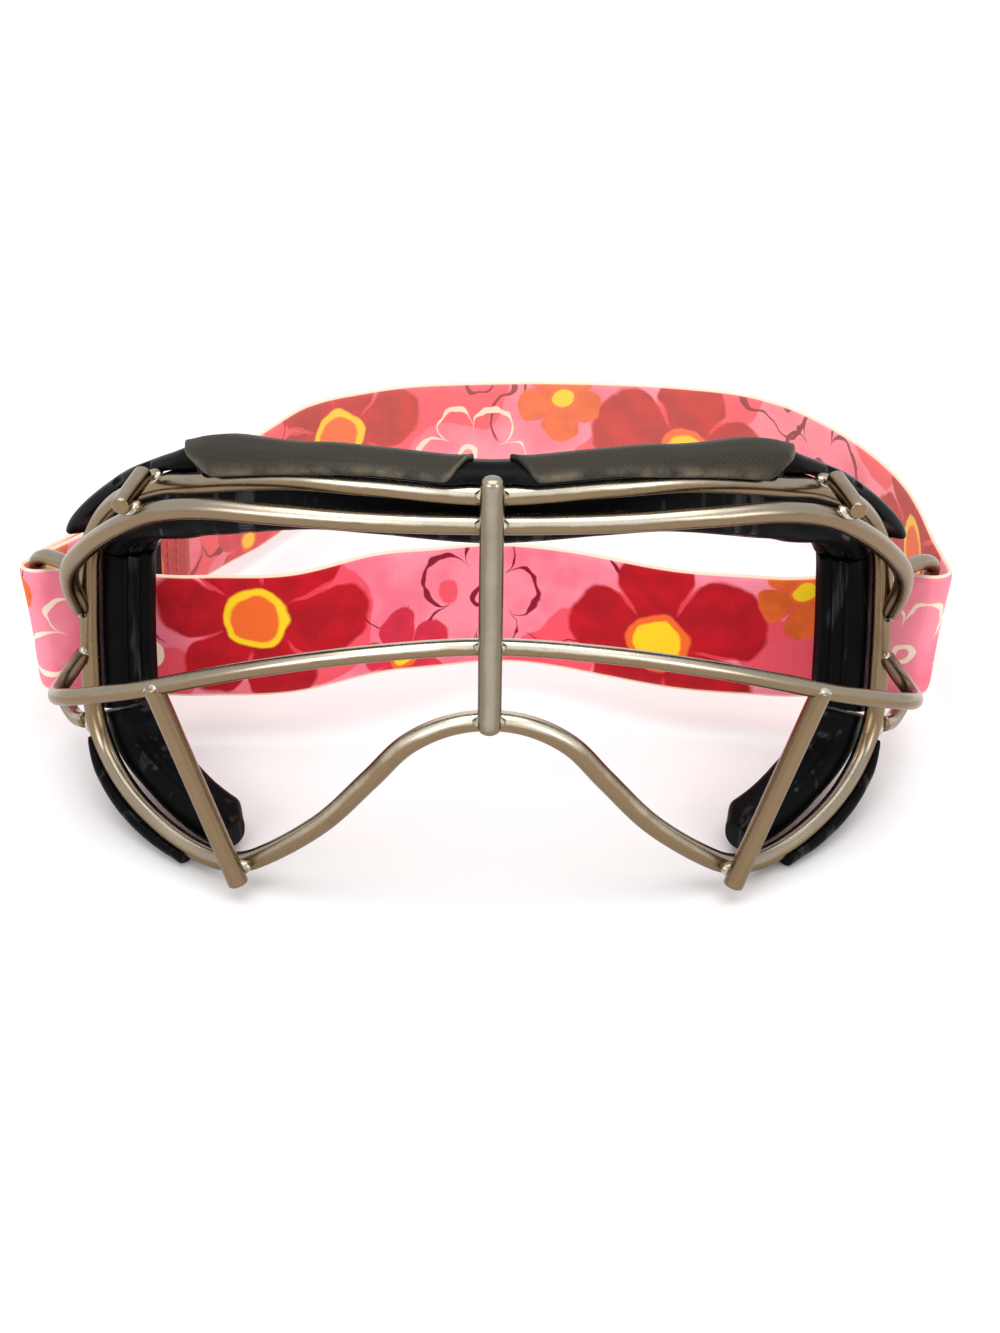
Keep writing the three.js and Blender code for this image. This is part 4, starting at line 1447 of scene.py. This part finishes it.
@dataclass
class BrowGuard:
    """The moulded band over the rim's top run, with a thin plate on each half of its front.

    Each slot in a tip has the X where it starts and stops, its two level shares, and its depth.
    """

    rim: Rim
    end_height: float = 0.642 * HEIGHT
    lip: float = 2.3
    set_back: float = 0.8
    tip_lip: float = 2.4
    step_x: float = 0.66 * HALF_WIDTH
    step_run: float = 2.0
    dome_set_back: float = 1.3
    dome_flat: float = 3.4
    ridge: float = 2.0
    tip_ridge: float = -1.2
    depth: float = 7.6
    tip_depth: float = 2.2
    foot: float = 2.3
    tip_width: float = 2.4
    rise: float = 8.8
    bulge: float = 0.7
    back_drop: float = 1.6
    tip_from: float = 0.9 * HALF_WIDTH
    rounding: float = 0.88
    end_reach: float = 0.008
    end_shrink: float = 0.35
    smoothing: float = 0.03
    low_share: float = 0.25
    high_share: float = 0.7
    lean_share: float = 0.45
    rise_shares: tuple[Pair, ...] = (
        (0, 0.62), (0.07, 0.63), (0.13, 0.645), (0.24, 0.675), (0.33, 0.63), (0.385, 0.77), (0.44, 0.93),
        (0.49, 0.81), (0.6, 0.63), (0.7, 0.57), (0.8, 0.58), (0.9, 0.68), (1, 0.86),
    )
    slots: tuple[tuple[float, ...], ...] = ((62.6, 66.2, 0.42, 0.86, 0.9), (68.6, 70.4, 0.3, 0.72, 0.7))
    slot_back: float = 0.6
    slot_edge: float = 0.5
    slot_edge_share: float = 0.12
    insert_inner_x: float = 3.6
    insert_inner_cut_x: float = 8.3
    insert_cut_x: float = 0.625 * HALF_WIDTH
    insert_outer_x: float = 0.735 * HALF_WIDTH
    insert_thickness: float = 0.9
    insert_lifts: Pair = (1.5, 0.4)
    insert_reach: Pair = (18.0, 46.0)
    insert_low: float = 0.8
    insert_back: float = 1.6
    insert_sunk: float = 0.35
    insert_points: int = 16
    # Strength of the painted edge highlight on the plate's first three points.
    insert_edge_highlight: Triple = (0.6, 1.0, 0.25)

    def __post_init__(self) -> None:
        """Finds the guard's end on the rim, and the shares at which its section changes."""
        self.end = self.rim.side(self.end_height)
        self.tip, self.step, self.recess, self.flat, self.shoulder = (
            self.rim.top(x) / self.end for x in
            (self.tip_from, self.step_x, self.step_x + self.step_run, self.dome_flat, self.insert_inner_cut_x)
        )

    def rise_at(self, place: float) -> float:
        """The guard's height above the rim at a share of its half length."""
        near = np.clip(place + np.array([-1.0, -0.5, 0.0, 0.5, 1.0]) * self.smoothing, 0.0, 1.0)
        return self.rise * float(np.mean(np.interp(near, *zip(*self.rise_shares))))

    def front(self, lip: float, foot: float, ridge: float, rise: float) -> list[Pair]:
        """The section's front face, from the lip at the wire up to the ridge."""
        return [
            (lip, foot),
            (lip + self.bulge / 2, between(foot, rise, self.low_share)),
            (between(lip, -ridge, self.lean_share) + self.bulge, between(foot, rise, self.high_share)),
            (-ridge, rise),
        ]

    def section(self, progress: float, share: float, place: RimFrame) -> Array:
        """The guard's outline.

        Args:
            progress: how far along the guard, from its left tip at 0 to its right tip at 1.
            share: the share of the ring, negative on the left.
            place: the rim's frame there.

        Returns:
            The outline, in outward and away.
        """
        beside = min(abs(share), self.end) / self.end
        to_tip = ramp(beside, self.tip, 1)
        to_recess = ramp(beside, self.step, self.recess)
        rise = self.rise_at(beside)
        ridge = between(self.ridge, self.tip_ridge, to_tip)
        depth = between(self.depth, self.tip_depth, to_tip)
        lip = self.lip - self.dome_set_back * (1 - ramp(beside, self.flat, self.shoulder))
        lip += (self.tip_lip + self.set_back) * to_tip - (self.lip + self.set_back) * to_recess
        foot = between(self.foot, rise - self.tip_width, to_tip**3)
        corners = [
            *self.front(lip, foot, ridge, rise),
            (-(ridge + depth) / 2, rise - self.back_drop / 4),
            (-depth, rise - self.back_drop),
            (-depth, foot + self.bulge / 2),
            (self.bulge / 2 - depth, foot),
        ]
        outline = rounded_ring(corners, self.rounding, bends=4, runs=6)
        middle = outline.mean(axis=0)
        size = between(self.end_shrink, 1, end_roundness(progress, self.end_reach))
        return self._slotted(middle + (outline - middle) * size, abs(place.origin[0]), foot, rise)

    def _slotted(self, outline: Array, x: float, foot: float, rise: float) -> Array:
        """Presses the moulded-in slots into an outline.

        Args:
            outline: the plain outline, in outward and away.
            x: the section's distance from the middle.
            foot, rise: the section's lowest and highest levels.

        Returns:
            The outline with the slots in it.
        """
        slotted = outline.copy()
        front = outline[:, 0] > -self.ridge - self.slot_back
        level = (outline[:, 1] - foot) / max(rise - foot, 0.5)
        for start, stop, low, high, depth in self.slots:
            edge, share = self.slot_edge, self.slot_edge_share
            inside = ramp(x, start, start + edge) * ramp(-x, -stop, -stop + edge)
            band = ramp(level, low, low + share) * ramp(-level, -high, -high + share)
            slotted[:, 0] -= depth * inside * band * front
        return slotted

    def _insert(self, side: Side, plate: Material) -> None:
        """Makes one insert, its outer end cut on a slant and its inner end leaning back from the dome.

        Args:
            side: which one.
            plate: its finish.
        """
        count = self.insert_points
        start, shoulder, cut, stop = (
            self.rim.top(x)
            for x in (self.insert_inner_x, self.insert_inner_cut_x, self.insert_cut_x, self.insert_outer_x)
        )
        reach = [self.rim.top(x) for x in self.insert_reach]

        def section(progress: float, share: float, _: RimFrame) -> Array:
            """Follows the guard's front and folds over its top.

            Args:
                progress: how far along the plate, from 0 to 1.
                share: the share of the ring.

            Returns:
                The plate's outline, in outward and away.
            """
            share = abs(share)
            rise = self.rise_at(share / self.end)
            line = np.array([
                (self.lip, self.foot - self.insert_low),
                *self.front(self.lip, self.foot, self.ridge, rise),
                (-(self.ridge + self.depth) / 2, rise - self.back_drop / 4),
                (self.insert_back - self.depth, rise - self.back_drop),
            ])
            length = lengths_along(line)[-1]
            slant = min(max((share - cut) / (stop - cut), 0.0), 1.0)
            inner = 1 - ramp(share, start, shoulder)
            lift = between(*self.insert_lifts, ramp(share, *reach))
            low = between(lift, 0.85 * length, max(slant, 0.8 * inner))
            points = points_along(line, np.linspace(low, length, count))
            along = unit_rows(np.gradient(points, axis=0))
            normal = np.column_stack([along[:, 1], -along[:, 0]])
            swell = 0.5 + 2.6 * np.sin(np.linspace(0, math.pi, count))
            crown = self.insert_thickness * np.minimum(1.0, swell)
            crown *= between(0.1, 1.0, end_roundness(progress, 0.02)) * np.linspace(1.0, 0.35, count)
            seat = SEAT_GAP - self.insert_sunk * np.linspace(0, 1, count) ** 2
            face, behind = points + normal * (crown + seat)[:, None], points + normal * (seat - 0.2)[:, None]
            return np.concatenate([face, behind[::-1]])

        shares = [side.sign * share for share in eased_shares(start, stop, 150, reach=0.02, ends=6)]
        piece = self.rim.band(f"brow_insert_plate_{side.value}", shares, section)
        # Marks the first points of each section, along the plate's lower edge, for its painted highlight.
        unhighlighted = [0.0] * (2 * count - len(self.insert_edge_highlight))
        store(piece.data, "edge_highlight", [*self.insert_edge_highlight, *unhighlighted] * len(shares))
        finish_piece(piece, CAGE, plate, Slot.INSERT, f"brow_insert_{side.value}")

    def build(self, plastic: Material, plate: Material) -> None:
        """Makes the guard and both inserts.

        Args:
            plastic: the guard's finish.
            plate: the inserts' finish.
        """
        shares = eased_shares(-self.end, self.end, 420, reach=self.end_reach)
        piece = self.rim.band("brow_guard_shell", shares, self.section)
        finish_piece(piece, CAGE, plastic, Slot.GUARD, "brow_guard")
        for side in Side:
            self._insert(side, plate)


# Padding behind the wires


@dataclass
class Padding:
    """The moulded foam pads behind the brow, the sides and the cheeks, and the rubber cheek trims.

    Each groove has its depth share in the pad and its width share.
    """

    rim: Rim
    standoff: float = 0.6
    brow_thickness: float = 11.0
    brow_below: float = 11.5
    brow_above: float = 2.0
    brow_end: float = 0.642 * HEIGHT
    brow_turn: float = 0.62
    brow_grooves: tuple[Pair, ...] = ((0.32, 0.035), (0.66, 0.035))
    side_thickness: float = 11.2
    side_front: float = 3.2
    side_back: float = 5.4
    side_top: float = 0.642 * HEIGHT - 0.6
    side_bottom: float = 0.2235 * HEIGHT
    rib: float = 0.8
    rib_shares: Pair = (0.14, 0.88)
    ribs: int = 3
    cheek_thickness: float = 11.0
    cheek_inside: float = 6.6
    cheek_outside: float = 0.6
    cheek_top: float = 0.2235 * HEIGHT - 0.75
    cheek_tip_x: float = 0.676 * HALF_WIDTH
    cheek_turn: float = 0.5
    cheek_groove: Pair = (0.42, 0.03)
    tip_share: float = 0.8
    tip_shrink: float = 0.3
    rounding: float = 3.6
    end_rounding: float = 0.4
    trim_wall: float = 1.6
    trim_swell: float = 0.7
    trim_inset: float = 0.1
    trim_top: float = 0.1755 * HEIGHT
    trim_end_x: float = 0.739 * HALF_WIDTH
    trim_angles: Pair = (math.radians(20), math.radians(138))

    @property
    def front(self) -> float:
        """Where the pads' outer faces lie behind the rim's axis."""
        return -(self.rim.wire / 2 + self.standoff)

    def _outline(self, thickness: float, low: float, high: float, full: float) -> tuple[Array, Array]:
        """A pad's rounded outline, drawn in towards its middle where the pad ends.

        Args:
            thickness: from its outer face to its inner one.
            low, high: its edges towards and away from the eye opening.
            full: 1 inside the pad, 0 at its very end.

        Returns:
            One row for each point, and how deep each lies, from 0 at the outer face to 1.
        """
        left, right = self.front - thickness, self.front
        corners = [(right, high), (left, high), (left, low), (right, low)]
        ring = rounded_ring(corners, self.rounding, bends=8, runs=14)
        middle = np.array([(left + right) / 2, (low + high) / 2])
        half = np.array([(right - left) / 2, (high - low) / 2])
        ring = middle + (ring - middle) * np.maximum(0.0, 1 - self.end_rounding * (1 - full) / half)
        return ring, (right - ring[:, 0]) / thickness

    def _brow_section(self, progress: float, _: float, __: RimFrame) -> Array:
        """Outlines the brow pad, with two moulded grooves along its lower edge.

        Args:
            progress: how far along it, from 0 to 1.

        Returns:
            One row for each point, in outward and away.
        """
        to_side = ramp(abs(2 * progress - 1), self.brow_turn, 1)
        below = between(self.brow_below, self.side_front, to_side)
        thickness = between(self.brow_thickness, self.side_thickness, to_side)
        ring, depth = self._outline(thickness, -below, self.brow_above, end_roundness(progress, 0.008))
        groove = sum(np.exp(-(((depth - place) / width) ** 2)) for place, width in self.brow_grooves)
        ring[:, 1] += 0.7 * groove * (ring[:, 1] < -below + 0.5)
        return ring

    def _side_section(self, progress: float, _: float, __: RimFrame) -> Array:
        """Outlines a side pad, its front face ribbed down its length.

        Args:
            progress: how far along it, from 0 to 1.

        Returns:
            One row for each point, in outward and away.
        """
        full = end_roundness(progress, 0.03)
        ring, depth = self._outline(self.side_thickness, -self.side_front, self.side_back, full)
        start, stop = self.rib_shares
        wave = 0.5 - 0.5 * np.cos(math.tau * np.clip((depth - start) / (stop - start), 0, 1) * self.ribs)
        ring[:, 1] -= self.rib * np.maximum(wave, 0.0) ** 0.6 * (ring[:, 1] < -self.side_front + 0.4)
        return ring

    def _cheek_section(self, progress: float, _: float, __: RimFrame) -> Array:
        """Outlines a cheek pad, with a thin parting groove along it and a blunt rounded tip.

        Args:
            progress: how far along it, from 0 to 1.

        Returns:
            One row for each point, in outward and away.
        """
        to_cheek = ramp(progress, 0, self.cheek_turn)
        tip = 1 - self.tip_shrink * ramp(progress, self.tip_share, 1)
        inside = between(self.side_front, self.cheek_inside, to_cheek) * tip
        outside = between(self.side_back, self.cheek_outside, to_cheek)
        thickness = between(self.side_thickness, self.cheek_thickness, to_cheek) * tip
        ring, depth = self._outline(thickness, -inside, outside, end_roundness(progress, 0.05))
        place, width = self.cheek_groove
        groove = np.exp(-(((depth - place) / width) ** 2))
        ring[:, 1] += 0.55 * groove * (ring[:, 1] < -inside + 0.5) * to_cheek
        return ring

    def _trim_section(self, progress: float, _: float, __: RimFrame) -> Array:
        """Outlines a trim, a crescent round the outside of the wire.

        Args:
            progress: how far along it, from 0 to 1.

        Returns:
            One row for each point, in outward and away.
        """
        fade = between(0.45, 1.0, ramp(progress, 0, 0.25)) * between(0.3, 1.0, end_roundness(progress, 0.03))
        angles = np.linspace(*self.trim_angles, 15)
        crown = np.maximum(np.sin(np.linspace(0, math.pi, 15)), 0.0) ** 0.35
        inner = self.rim.wire / 2 - self.trim_inset
        wall = self.trim_wall + self.trim_swell * math.sin(math.pi * min(progress * 1.15, 1.0))
        outer = inner + 0.15 + (wall + SEAT_GAP) * fade * np.maximum(crown, 0.35)
        ways = np.column_stack([np.cos(angles), np.sin(angles)])
        return np.concatenate([ways * outer[:, None], ways[::-1] * inner])

    def build(self, foam: Material, rubber: Material) -> None:
        """Makes every pad and trim.

        Args:
            foam: the pads' finish.
            rubber: the trims' finish.
        """
        rim = self.rim
        end = rim.side(self.brow_end)
        piece = rim.band("brow_cushion", eased_shares(-end, end, 260, reach=0.008), self._brow_section)
        finish_piece(piece, CAGE, foam, Slot.PADDING, "brow_pad")
        side_run = (rim.side(self.side_top), rim.side(self.side_bottom))
        cheek_run = (rim.side(self.cheek_top), rim.bottom(self.cheek_tip_x))
        trim_run = (rim.side(self.trim_top), rim.bottom(self.trim_end_x))
        for side in Side:
            for name, node, run, count, reach, section in (
                ("side_cushion", "side_pad", side_run, 60, 0.03, self._side_section),
                ("cheek_cushion", "cheek_pad", cheek_run, 90, 0.05, self._cheek_section),
                ("cheek_edge", "cheek_trim", trim_run, 80, 0.03, self._trim_section),
            ):
                shares = [side.sign * share for share in eased_shares(*run, count, reach)]
                piece = rim.band(f"{name}_{side.value}", shares, section)
                trim = node == "cheek_trim"
                finish, slot = (rubber, Slot.TRIM) if trim else (foam, Slot.PADDING)
                finish_piece(piece, CAGE, finish, slot, f"{node}_{side.value}")
                not trim


# The strap


@dataclass
class Station:
    """A place along the strap: where its middle runs in plan, how high, and how much it leans."""

    point: Array
    height: float
    lean: float


def arc(centre: Pair, radius: float, start: float, stop: float, steps: int) -> Array:
    """Points along an arc in plan."""
    angles = np.linspace(start, stop, steps + 1)
    return np.array(centre) + radius * np.column_stack([np.cos(angles), np.sin(angles)])


def even_run(marks: Sequence[Array], steps: int) -> Array:
    """Evenly spaced points on a uniform smooth line through marks in plan.

    Args:
        marks: the points that it passes.
        steps: how many steps to take from end to end.

    Returns:
        One row for each point.
    """
    points = []
    last = len(marks) - 1
    for place in np.linspace(0, last, 60 * last + 1):
        span = min(int(place), last - 1)
        w = place - span
        p0, p1, p2, p3 = (marks[min(max(span + step, 0), last)] for step in (-1, 0, 1, 2))
        first, second = (p2 - p0) / 2, (p3 - p1) / 2
        cube = (2 * p1 - 2 * p2 + first + second) * w**3
        points.append(cube + (3 * p2 - 3 * p1 - 2 * first - second) * w**2 + first * w + p1)
    line = np.array(points)
    return points_along(line, np.linspace(0, lengths_along(line)[-1], steps + 1))


@dataclass
class Strap:
    """The printed elastic band.

    It runs from its free tail round the left loop, across the front, round the right loop, round the back,
    and over the tail again. Its marks are shares of the loops' place and of its sag or reach.
    """

    loops: StrapLoops
    thickness: float = 1.6
    near_dip: float = 3.8
    near_sag: float = 17.0
    near_half: float = 0.745 * HALF_WIDTH
    near_lift: float = 1.2
    near_swell: float = 2.8
    swell_x: float = -20.5
    swell_width: float = 10.0
    near_angle: float = math.radians(14)
    far_lift: Pair = (0.8, 3.0)
    far_half: float = 62.0
    far_rises: Pair = (4.0, 34.0)
    far_left: Pair = (-50.0, -38.0)
    reach: float = 99.0
    rise: float = 1.842
    right_slack: float = 0.6
    overlap_angle: float = math.radians(57.7)
    overlap_length: float = 69.0
    tail_length: float = 50.0
    outer_start: float = 6.0
    fold_run: float = 18.0
    near_shares: tuple[Pair, ...] = (
        (-0.775, 0.09), (-0.64, 0.19), (-0.42, 0.18), (-0.19, 0.49), (0, 0.97), (0.16, 0.93), (0.43, 0.42),
        (0.64, 0.27), (0.775, 0.13),
    )
    far_shares: tuple[Pair, ...] = (
        (1.035, 0.15), (1.015, 0.29), (0.98, 0.43), (0.92, 0.585), (0.81, 0.755), (0.675, 0.88),
        (0.505, 0.95), (0.288, 0.99), (0.055, 1), (-0.155, 0.975), (-0.31, 0.914), (-0.437, 0.828),
    )
    wavers: tuple[Triple, ...] = ((0.25, 7.3, 0.0), (0.2, 4.1, 1.0))
    curl: Pair = (0.45, 31.0)
    across: int = 26
    seams: tuple[Pair, ...] = ((5.0, 1), (5.0, -1), (7.2, 1), (7.2, -1), (-4.0, 1), (-6.2, 1))
    seam_lift: float = 0.12
    stitch_pitch: float = 0.0022
    stitch_length: float = 0.0015
    stitch_width: float = 0.00045

    def _near(self, point: Array) -> Station:
        """Sets a station between the loops.

        Args:
            point: the place in plan.

        Returns:
            The station there.
        """
        loops, x = self.loops, point[0]
        to_loop = ramp(abs(x), self.near_half, loops.outer_x - self.wrap_radius)
        height = between(loops.strap_height - self.near_dip, loops.strap_height, to_loop)
        height += self.near_lift * (1 - ramp(abs(x), 0, self.near_half))
        height += self.near_swell * math.exp(-0.5 * ((x - self.swell_x) / self.swell_width) ** 2)
        return Station(point, height, math.copysign(loops.lean, x) * to_loop)

    def _far(self, point: Array) -> Station:
        """Sets a station behind the loops, where the band gets upright and settles on the table.

        Args:
            point: the place in plan.

        Returns:
            The station there.
        """
        loops, (x, y) = self.loops, point
        behind = y - loops.outer_y
        lean = math.copysign(loops.lean, x) * (1 - ramp(behind, 0, self.fold_run))
        lift = between(*self.far_lift, min(abs(x) / self.far_half, 1.1) ** 1.8)
        lift *= ramp(behind, *self.far_rises) * ramp(x, *self.far_left)
        return Station(point, loops.strap_height + self.rise * behind / self.reach + lift, lean)

    @property
    def wrap_radius(self) -> float:
        """The band's middle, from a loop's axis."""
        return self.loops.wire / 2 + STRAP_GAP + self.thickness / 2

    def stations(self) -> list[Station]:
        """Lays the band's route.

        Returns:
            Its stations in order, at a pitch of about 1.5 mm.
        """
        x, y = self.loops.outer_x, self.loops.outer_y
        direction = np.array([math.cos(self.overlap_angle), math.sin(self.overlap_angle)])
        outward = np.array([-direction[1], direction[0]])
        inner = np.array([-x, y]) + outward * self.wrap_radius
        outer = inner + outward * (self.thickness + STRAP_GAP)
        left_angles = (self.overlap_angle + math.pi / 2, 1.5 * math.pi + self.near_angle)
        left = arc((-x, y), self.wrap_radius, *left_angles, 18)
        right = arc((x, y), self.wrap_radius + self.right_slack, -math.pi / 2 - self.near_angle, 0, 14)
        near_marks = [np.array([a * x, y + sag * self.near_sag]) for a, sag in self.near_shares]
        far_marks = [np.array([a * x, y + back * self.reach]) for a, back in self.far_shares]
        near = even_run([left[-1], *near_marks, right[0]], 130)
        far = even_run([right[-1], *far_marks, outer + direction * self.overlap_length], 220)
        tail = [inner + direction * run for run in np.linspace(self.tail_length, 0, 34)]
        cover = [outer + direction * run for run in np.linspace(self.overlap_length, self.outer_start, 44)]
        return [
            *map(self._far, tail[:-1]), *map(self._near, (*left[:-1], *near, *right[1:])),
            *map(self._far, (*far[1:], *cover[1:])),
        ]

    def _rings(self) -> tuple[Array, Array]:
        """Sweeps the band's section along its stations.

        Returns:
            Its rings of points, and how far along the band each lies.
        """
        stations = self.stations()
        plan = np.array([station.point for station in stations])
        run = lengths_along(plan)
        steps = np.linspace(-1, 1, self.across + 1)
        profile = self.thickness / 2 * np.maximum(0.25, (1 - np.abs(steps) ** 10) ** 0.5)
        out, step = np.concatenate([profile, -profile[::-1]]), np.concatenate([steps, steps[::-1]])
        height = step * STRAP_WIDTH / 2
        rings = []
        for station, way, place in zip(stations, unit_rows(np.gradient(plan, axis=0)), run):
            waver = sum(size * math.sin(place / length + phase) for size, length, phase in self.wavers)
            curl = self.curl[0] * math.sin(place / self.curl[1])
            lift = out + curl * (step**2 - 0.4) + waver * 0.35 * step**3
            rings.append(np.column_stack([
                station.point[0] + way[1] * lift + station.lean * height,
                station.point[1] - way[0] * lift,
                station.height + height,
            ]))
        return np.array(rings), run

    def build(self, elastic: Material, thread: Material) -> None:
        """Makes the band, with its run along and across as its UV map, and its stitches.

        Args:
            elastic: the band's finish.
            thread: the stitches' finish.
        """
        rings, run = self._rings()
        piece = skin("strap_webbing", rings)
        mesh, sides = piece.data, rings.shape[1]
        corners = np.empty(len(mesh.loops), dtype=np.int32)
        mesh.loops.foreach_get("vertex_index", corners)
        row, side = np.divmod(corners, sides)
        steps = np.linspace(-1, 1, self.across + 1)
        cross = np.concatenate([steps, -steps])
        places = np.column_stack([run[row], cross[side] * STRAP_WIDTH / 2]) * MM
        mesh.uv_layers.new(name="band").data.foreach_set("uv", places.ravel().astype(np.float32))
        store(mesh, "inner", np.arange(len(mesh.vertices)) % sides > self.across)
        finish_piece(piece, CAGE, elastic, Slot.STRAP, "strap_band")
        self._stitches(rings, run, thread)

    def _stitches(self, rings: Array, run: Array, thread: Material) -> None:
        """Sews a hem near each end of the band, by a node tree that lays stitches along lines.

        Args:
            rings, run: the band's rings, and how far along it each lies.
            thread: the finish.
        """
        faces = {1: rings[:, : self.across + 1], -1: rings[:, self.across + 1:][:, ::-1]}
        lines, edges = [], []
        for place, face in self.seams:
            row = int(np.argmin(np.abs(run - place % run[-1])))
            seam = faces[face][row, 1:-1]
            first = len(lines)
            lines.extend(seam + unit_rows(seam - faces[-face][row, 1:-1]) * self.seam_lift)
            edges.extend((i, i + 1) for i in range(first, len(lines) - 1))
        piece = new_piece("strap_stitches", in_scene(np.array(lines)), edges)
        recipe = Recipe("stitch_recipe")
        pitch, length, width = (
            recipe.size(name, value)
            for name, value in (
                ("Pitch", self.stitch_pitch), ("Length", self.stitch_length), ("Width", self.stitch_width)
            )
        )
        curve = recipe.add("MeshToCurve", "Curve", Mesh=recipe.geometry)
        values = {"Curve": curve, "Length": pitch}
        spaced = recipe.node("GeometryNodeResampleCurve", {"mode": "LENGTH"}, values, "Curve")
        values = {"Vector": recipe.add("InputTangent", "Tangent")}
        turn = recipe.node("FunctionNodeAlignRotationToVector", {"axis": "X"}, values, "Rotation")
        bead = recipe.add("MeshUVSphere", "Mesh", Segments=8, Rings=6, Radius=0.5)
        size = recipe.node("ShaderNodeCombineXYZ", values=[length, width, width])
        recipe.run(piece, recipe.copies(spaced, bead, turn, size), thread)
        finish_piece(piece, CAGE, thread, Slot.STRAP)


@dataclass
class Slider:
    """The moulded three-bar slider that holds the two ends of the strap together."""

    bevel: float = 0.0005
    merged: float = 0.00002
    sharp_angle: float = math.radians(30)
    skew_angle: float = math.radians(60)

    def build(self, nylon: Material) -> None:
        """Merges a copy of the CAD solid, rounds its edges and dresses it."""
        mesh = bmesh.new()
        mesh.from_mesh(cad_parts["strap_slider"].data)
        bmesh.ops.remove_doubles(mesh, verts=mesh.verts, dist=self.merged)
        bmesh.ops.dissolve_degenerate(mesh, edges=mesh.edges, dist=self.merged)
        angles = {"angle_face_threshold": self.sharp_angle, "angle_shape_threshold": self.skew_angle}
        bmesh.ops.join_triangles(mesh, faces=mesh.faces, **angles)
        for face in mesh.faces:
            face.smooth = True
        for edge in mesh.edges:
            edge.smooth = not (len(edge.link_faces) == 2 and edge.calc_face_angle(0.0) > self.sharp_angle)
        piece = new_piece("slider_body", [])
        mesh.to_mesh(piece.data)
        mesh.free()
        rounded = piece.modifiers.new("rounded", "BEVEL")
        rounded.width = self.bevel
        rounded.segments = 3
        rounded.limit_method = "ANGLE"
        rounded.angle_limit = self.sharp_angle
        apply_modifiers(piece)
        finish_piece(piece, SLIDER, nylon, Slot.SLIDER, "strap_slider")


# The studio


@dataclass
class Studio:
    """A pale floor, soft lamps and the camera. Each lamp has its place, aim, size and power in watts."""

    camera_place: Triple = (-0.00973, -0.56864, 0.39733)
    camera_aim: Triple = (0.001875, -0.06047, 0.046703)
    camera_roll: float = math.radians(1.04)
    sensor: float = 36.0
    focal_share: float = 3.3
    nearest: float = 0.01
    half_floor: float = 3.0
    shade: float = 0.71
    lamps: tuple[tuple[str, Triple, Triple, Pair, float], ...] = (
        ("overhead", (0.0, -0.1, 1.5), (0, 0, 0), (1.6, 1.4), 17.0),
        ("front_left", (-0.9, -1.2, 0.9), (0, 0, 0.04), (0.9, 0.7), 8.0),
        ("front_right", (1.0, -1.0, 0.7), (0, 0, 0.04), (0.6, 0.6), 4.0),
    )

    def _place(self, data: bpy.types.ID, place: Triple, aim: Triple, roll: float = 0.0) -> Thing:
        """Links a lamp or a camera that looks at a point.

        Args:
            data: the lamp's or camera's data.
            place, aim: where it is and what it looks at.
            roll: its turn about its own axis.

        Returns:
            The new object.
        """
        look = (Vector(aim) - Vector(place)).to_track_quat("-Z", "Y").to_matrix()
        turn = look @ Matrix.Rotation(roll, 3, "Z")
        made = bpy.data.objects.new(data.name, data)
        made.matrix_world = Matrix.Translation(place) @ turn.to_4x4()
        bpy.context.collection.objects.link(made)
        return made

    def _world(self) -> None:
        """A pale world that is white where it is seen or mirrored."""
        world = bpy.data.worlds.new("studio_air")
        world.use_nodes = True
        bpy.context.scene.world = world
        kit = NodeKit(world.node_tree)
        rays = ("Is Camera Ray", "Is Glossy Ray", "Is Transmission Ray")
        camera, glossy, through = (kit.node("ShaderNodeLightPath", output=ray) for ray in rays)
        seen = camera.call("MAXIMUM", glossy).call("MAXIMUM", through)
        background = kit.tree.nodes["Background"].inputs
        values = {"Value": seen, "To Min": self.shade, "To Max": 1.0}
        kit.put(background["Strength"], kit.node("ShaderNodeMapRange", values=values))
        background["Color"].default_value = (1.0, 1.0, 1.0, 1.0)

    def build(self, floor: Material) -> None:
        """Sets up the floor, the world, the lamps and the camera.

        Args:
            floor: the floor's finish.
        """
        half = self.half_floor
        corners = [(-half, -half, 0), (half, -half, 0), (half, half, 0), (-half, half, 0)]
        ground = new_piece("floor", corners, faces=[(0, 1, 2, 3)])
        ground.data.materials.append(floor)
        self._world()
        for name, place, aim, size, power in self.lamps:
            light = bpy.data.lights.new(name, "AREA")
            light.shape = "RECTANGLE"
            light.size, light.size_y = size
            light.energy = power
            self._place(light, place, aim)
        camera = bpy.data.cameras.new("camera")
        camera.sensor_fit = "HORIZONTAL"
        camera.sensor_width = self.sensor
        camera.lens = self.sensor * self.focal_share
        camera.clip_start = self.nearest
        scene = bpy.context.scene
        scene.camera = self._place(camera, self.camera_place, self.camera_aim, self.camera_roll)
        scene.view_settings.view_transform = "Standard"


def build_goggles() -> None:
    """Builds the sub-assemblies in order and writes how large they came out."""
    logging.basicConfig(level=logging.INFO, format="%(message)s")
    Studio().build(PaleFloor().material())
    steel = SatinSteel().material()
    rim = Rim()
    bars = Bars(rim)
    struts = Struts(rim, bars)
    loops = StrapLoops(rim)
    for wires in (rim, bars, struts, loops):
        wires.build(steel)
    Welds(rim, bars, struts, loops).build(WeldSteel().material())
    BrowGuard(rim).build(MouldedBlack("guard_moulding").material(), WovenPlate().material())
    Padding(rim).build(MouldedRubber("pad_foam").material(), MouldedRubber("trim_rubber").material())
    Strap(loops).build(PrintedElastic().material(), SewingThread().material())
    Slider().build(MouldedBlack("slider_nylon", roughness=0.42, texture=2400.0).material())


if __name__ == "__main__":
    build_goggles()
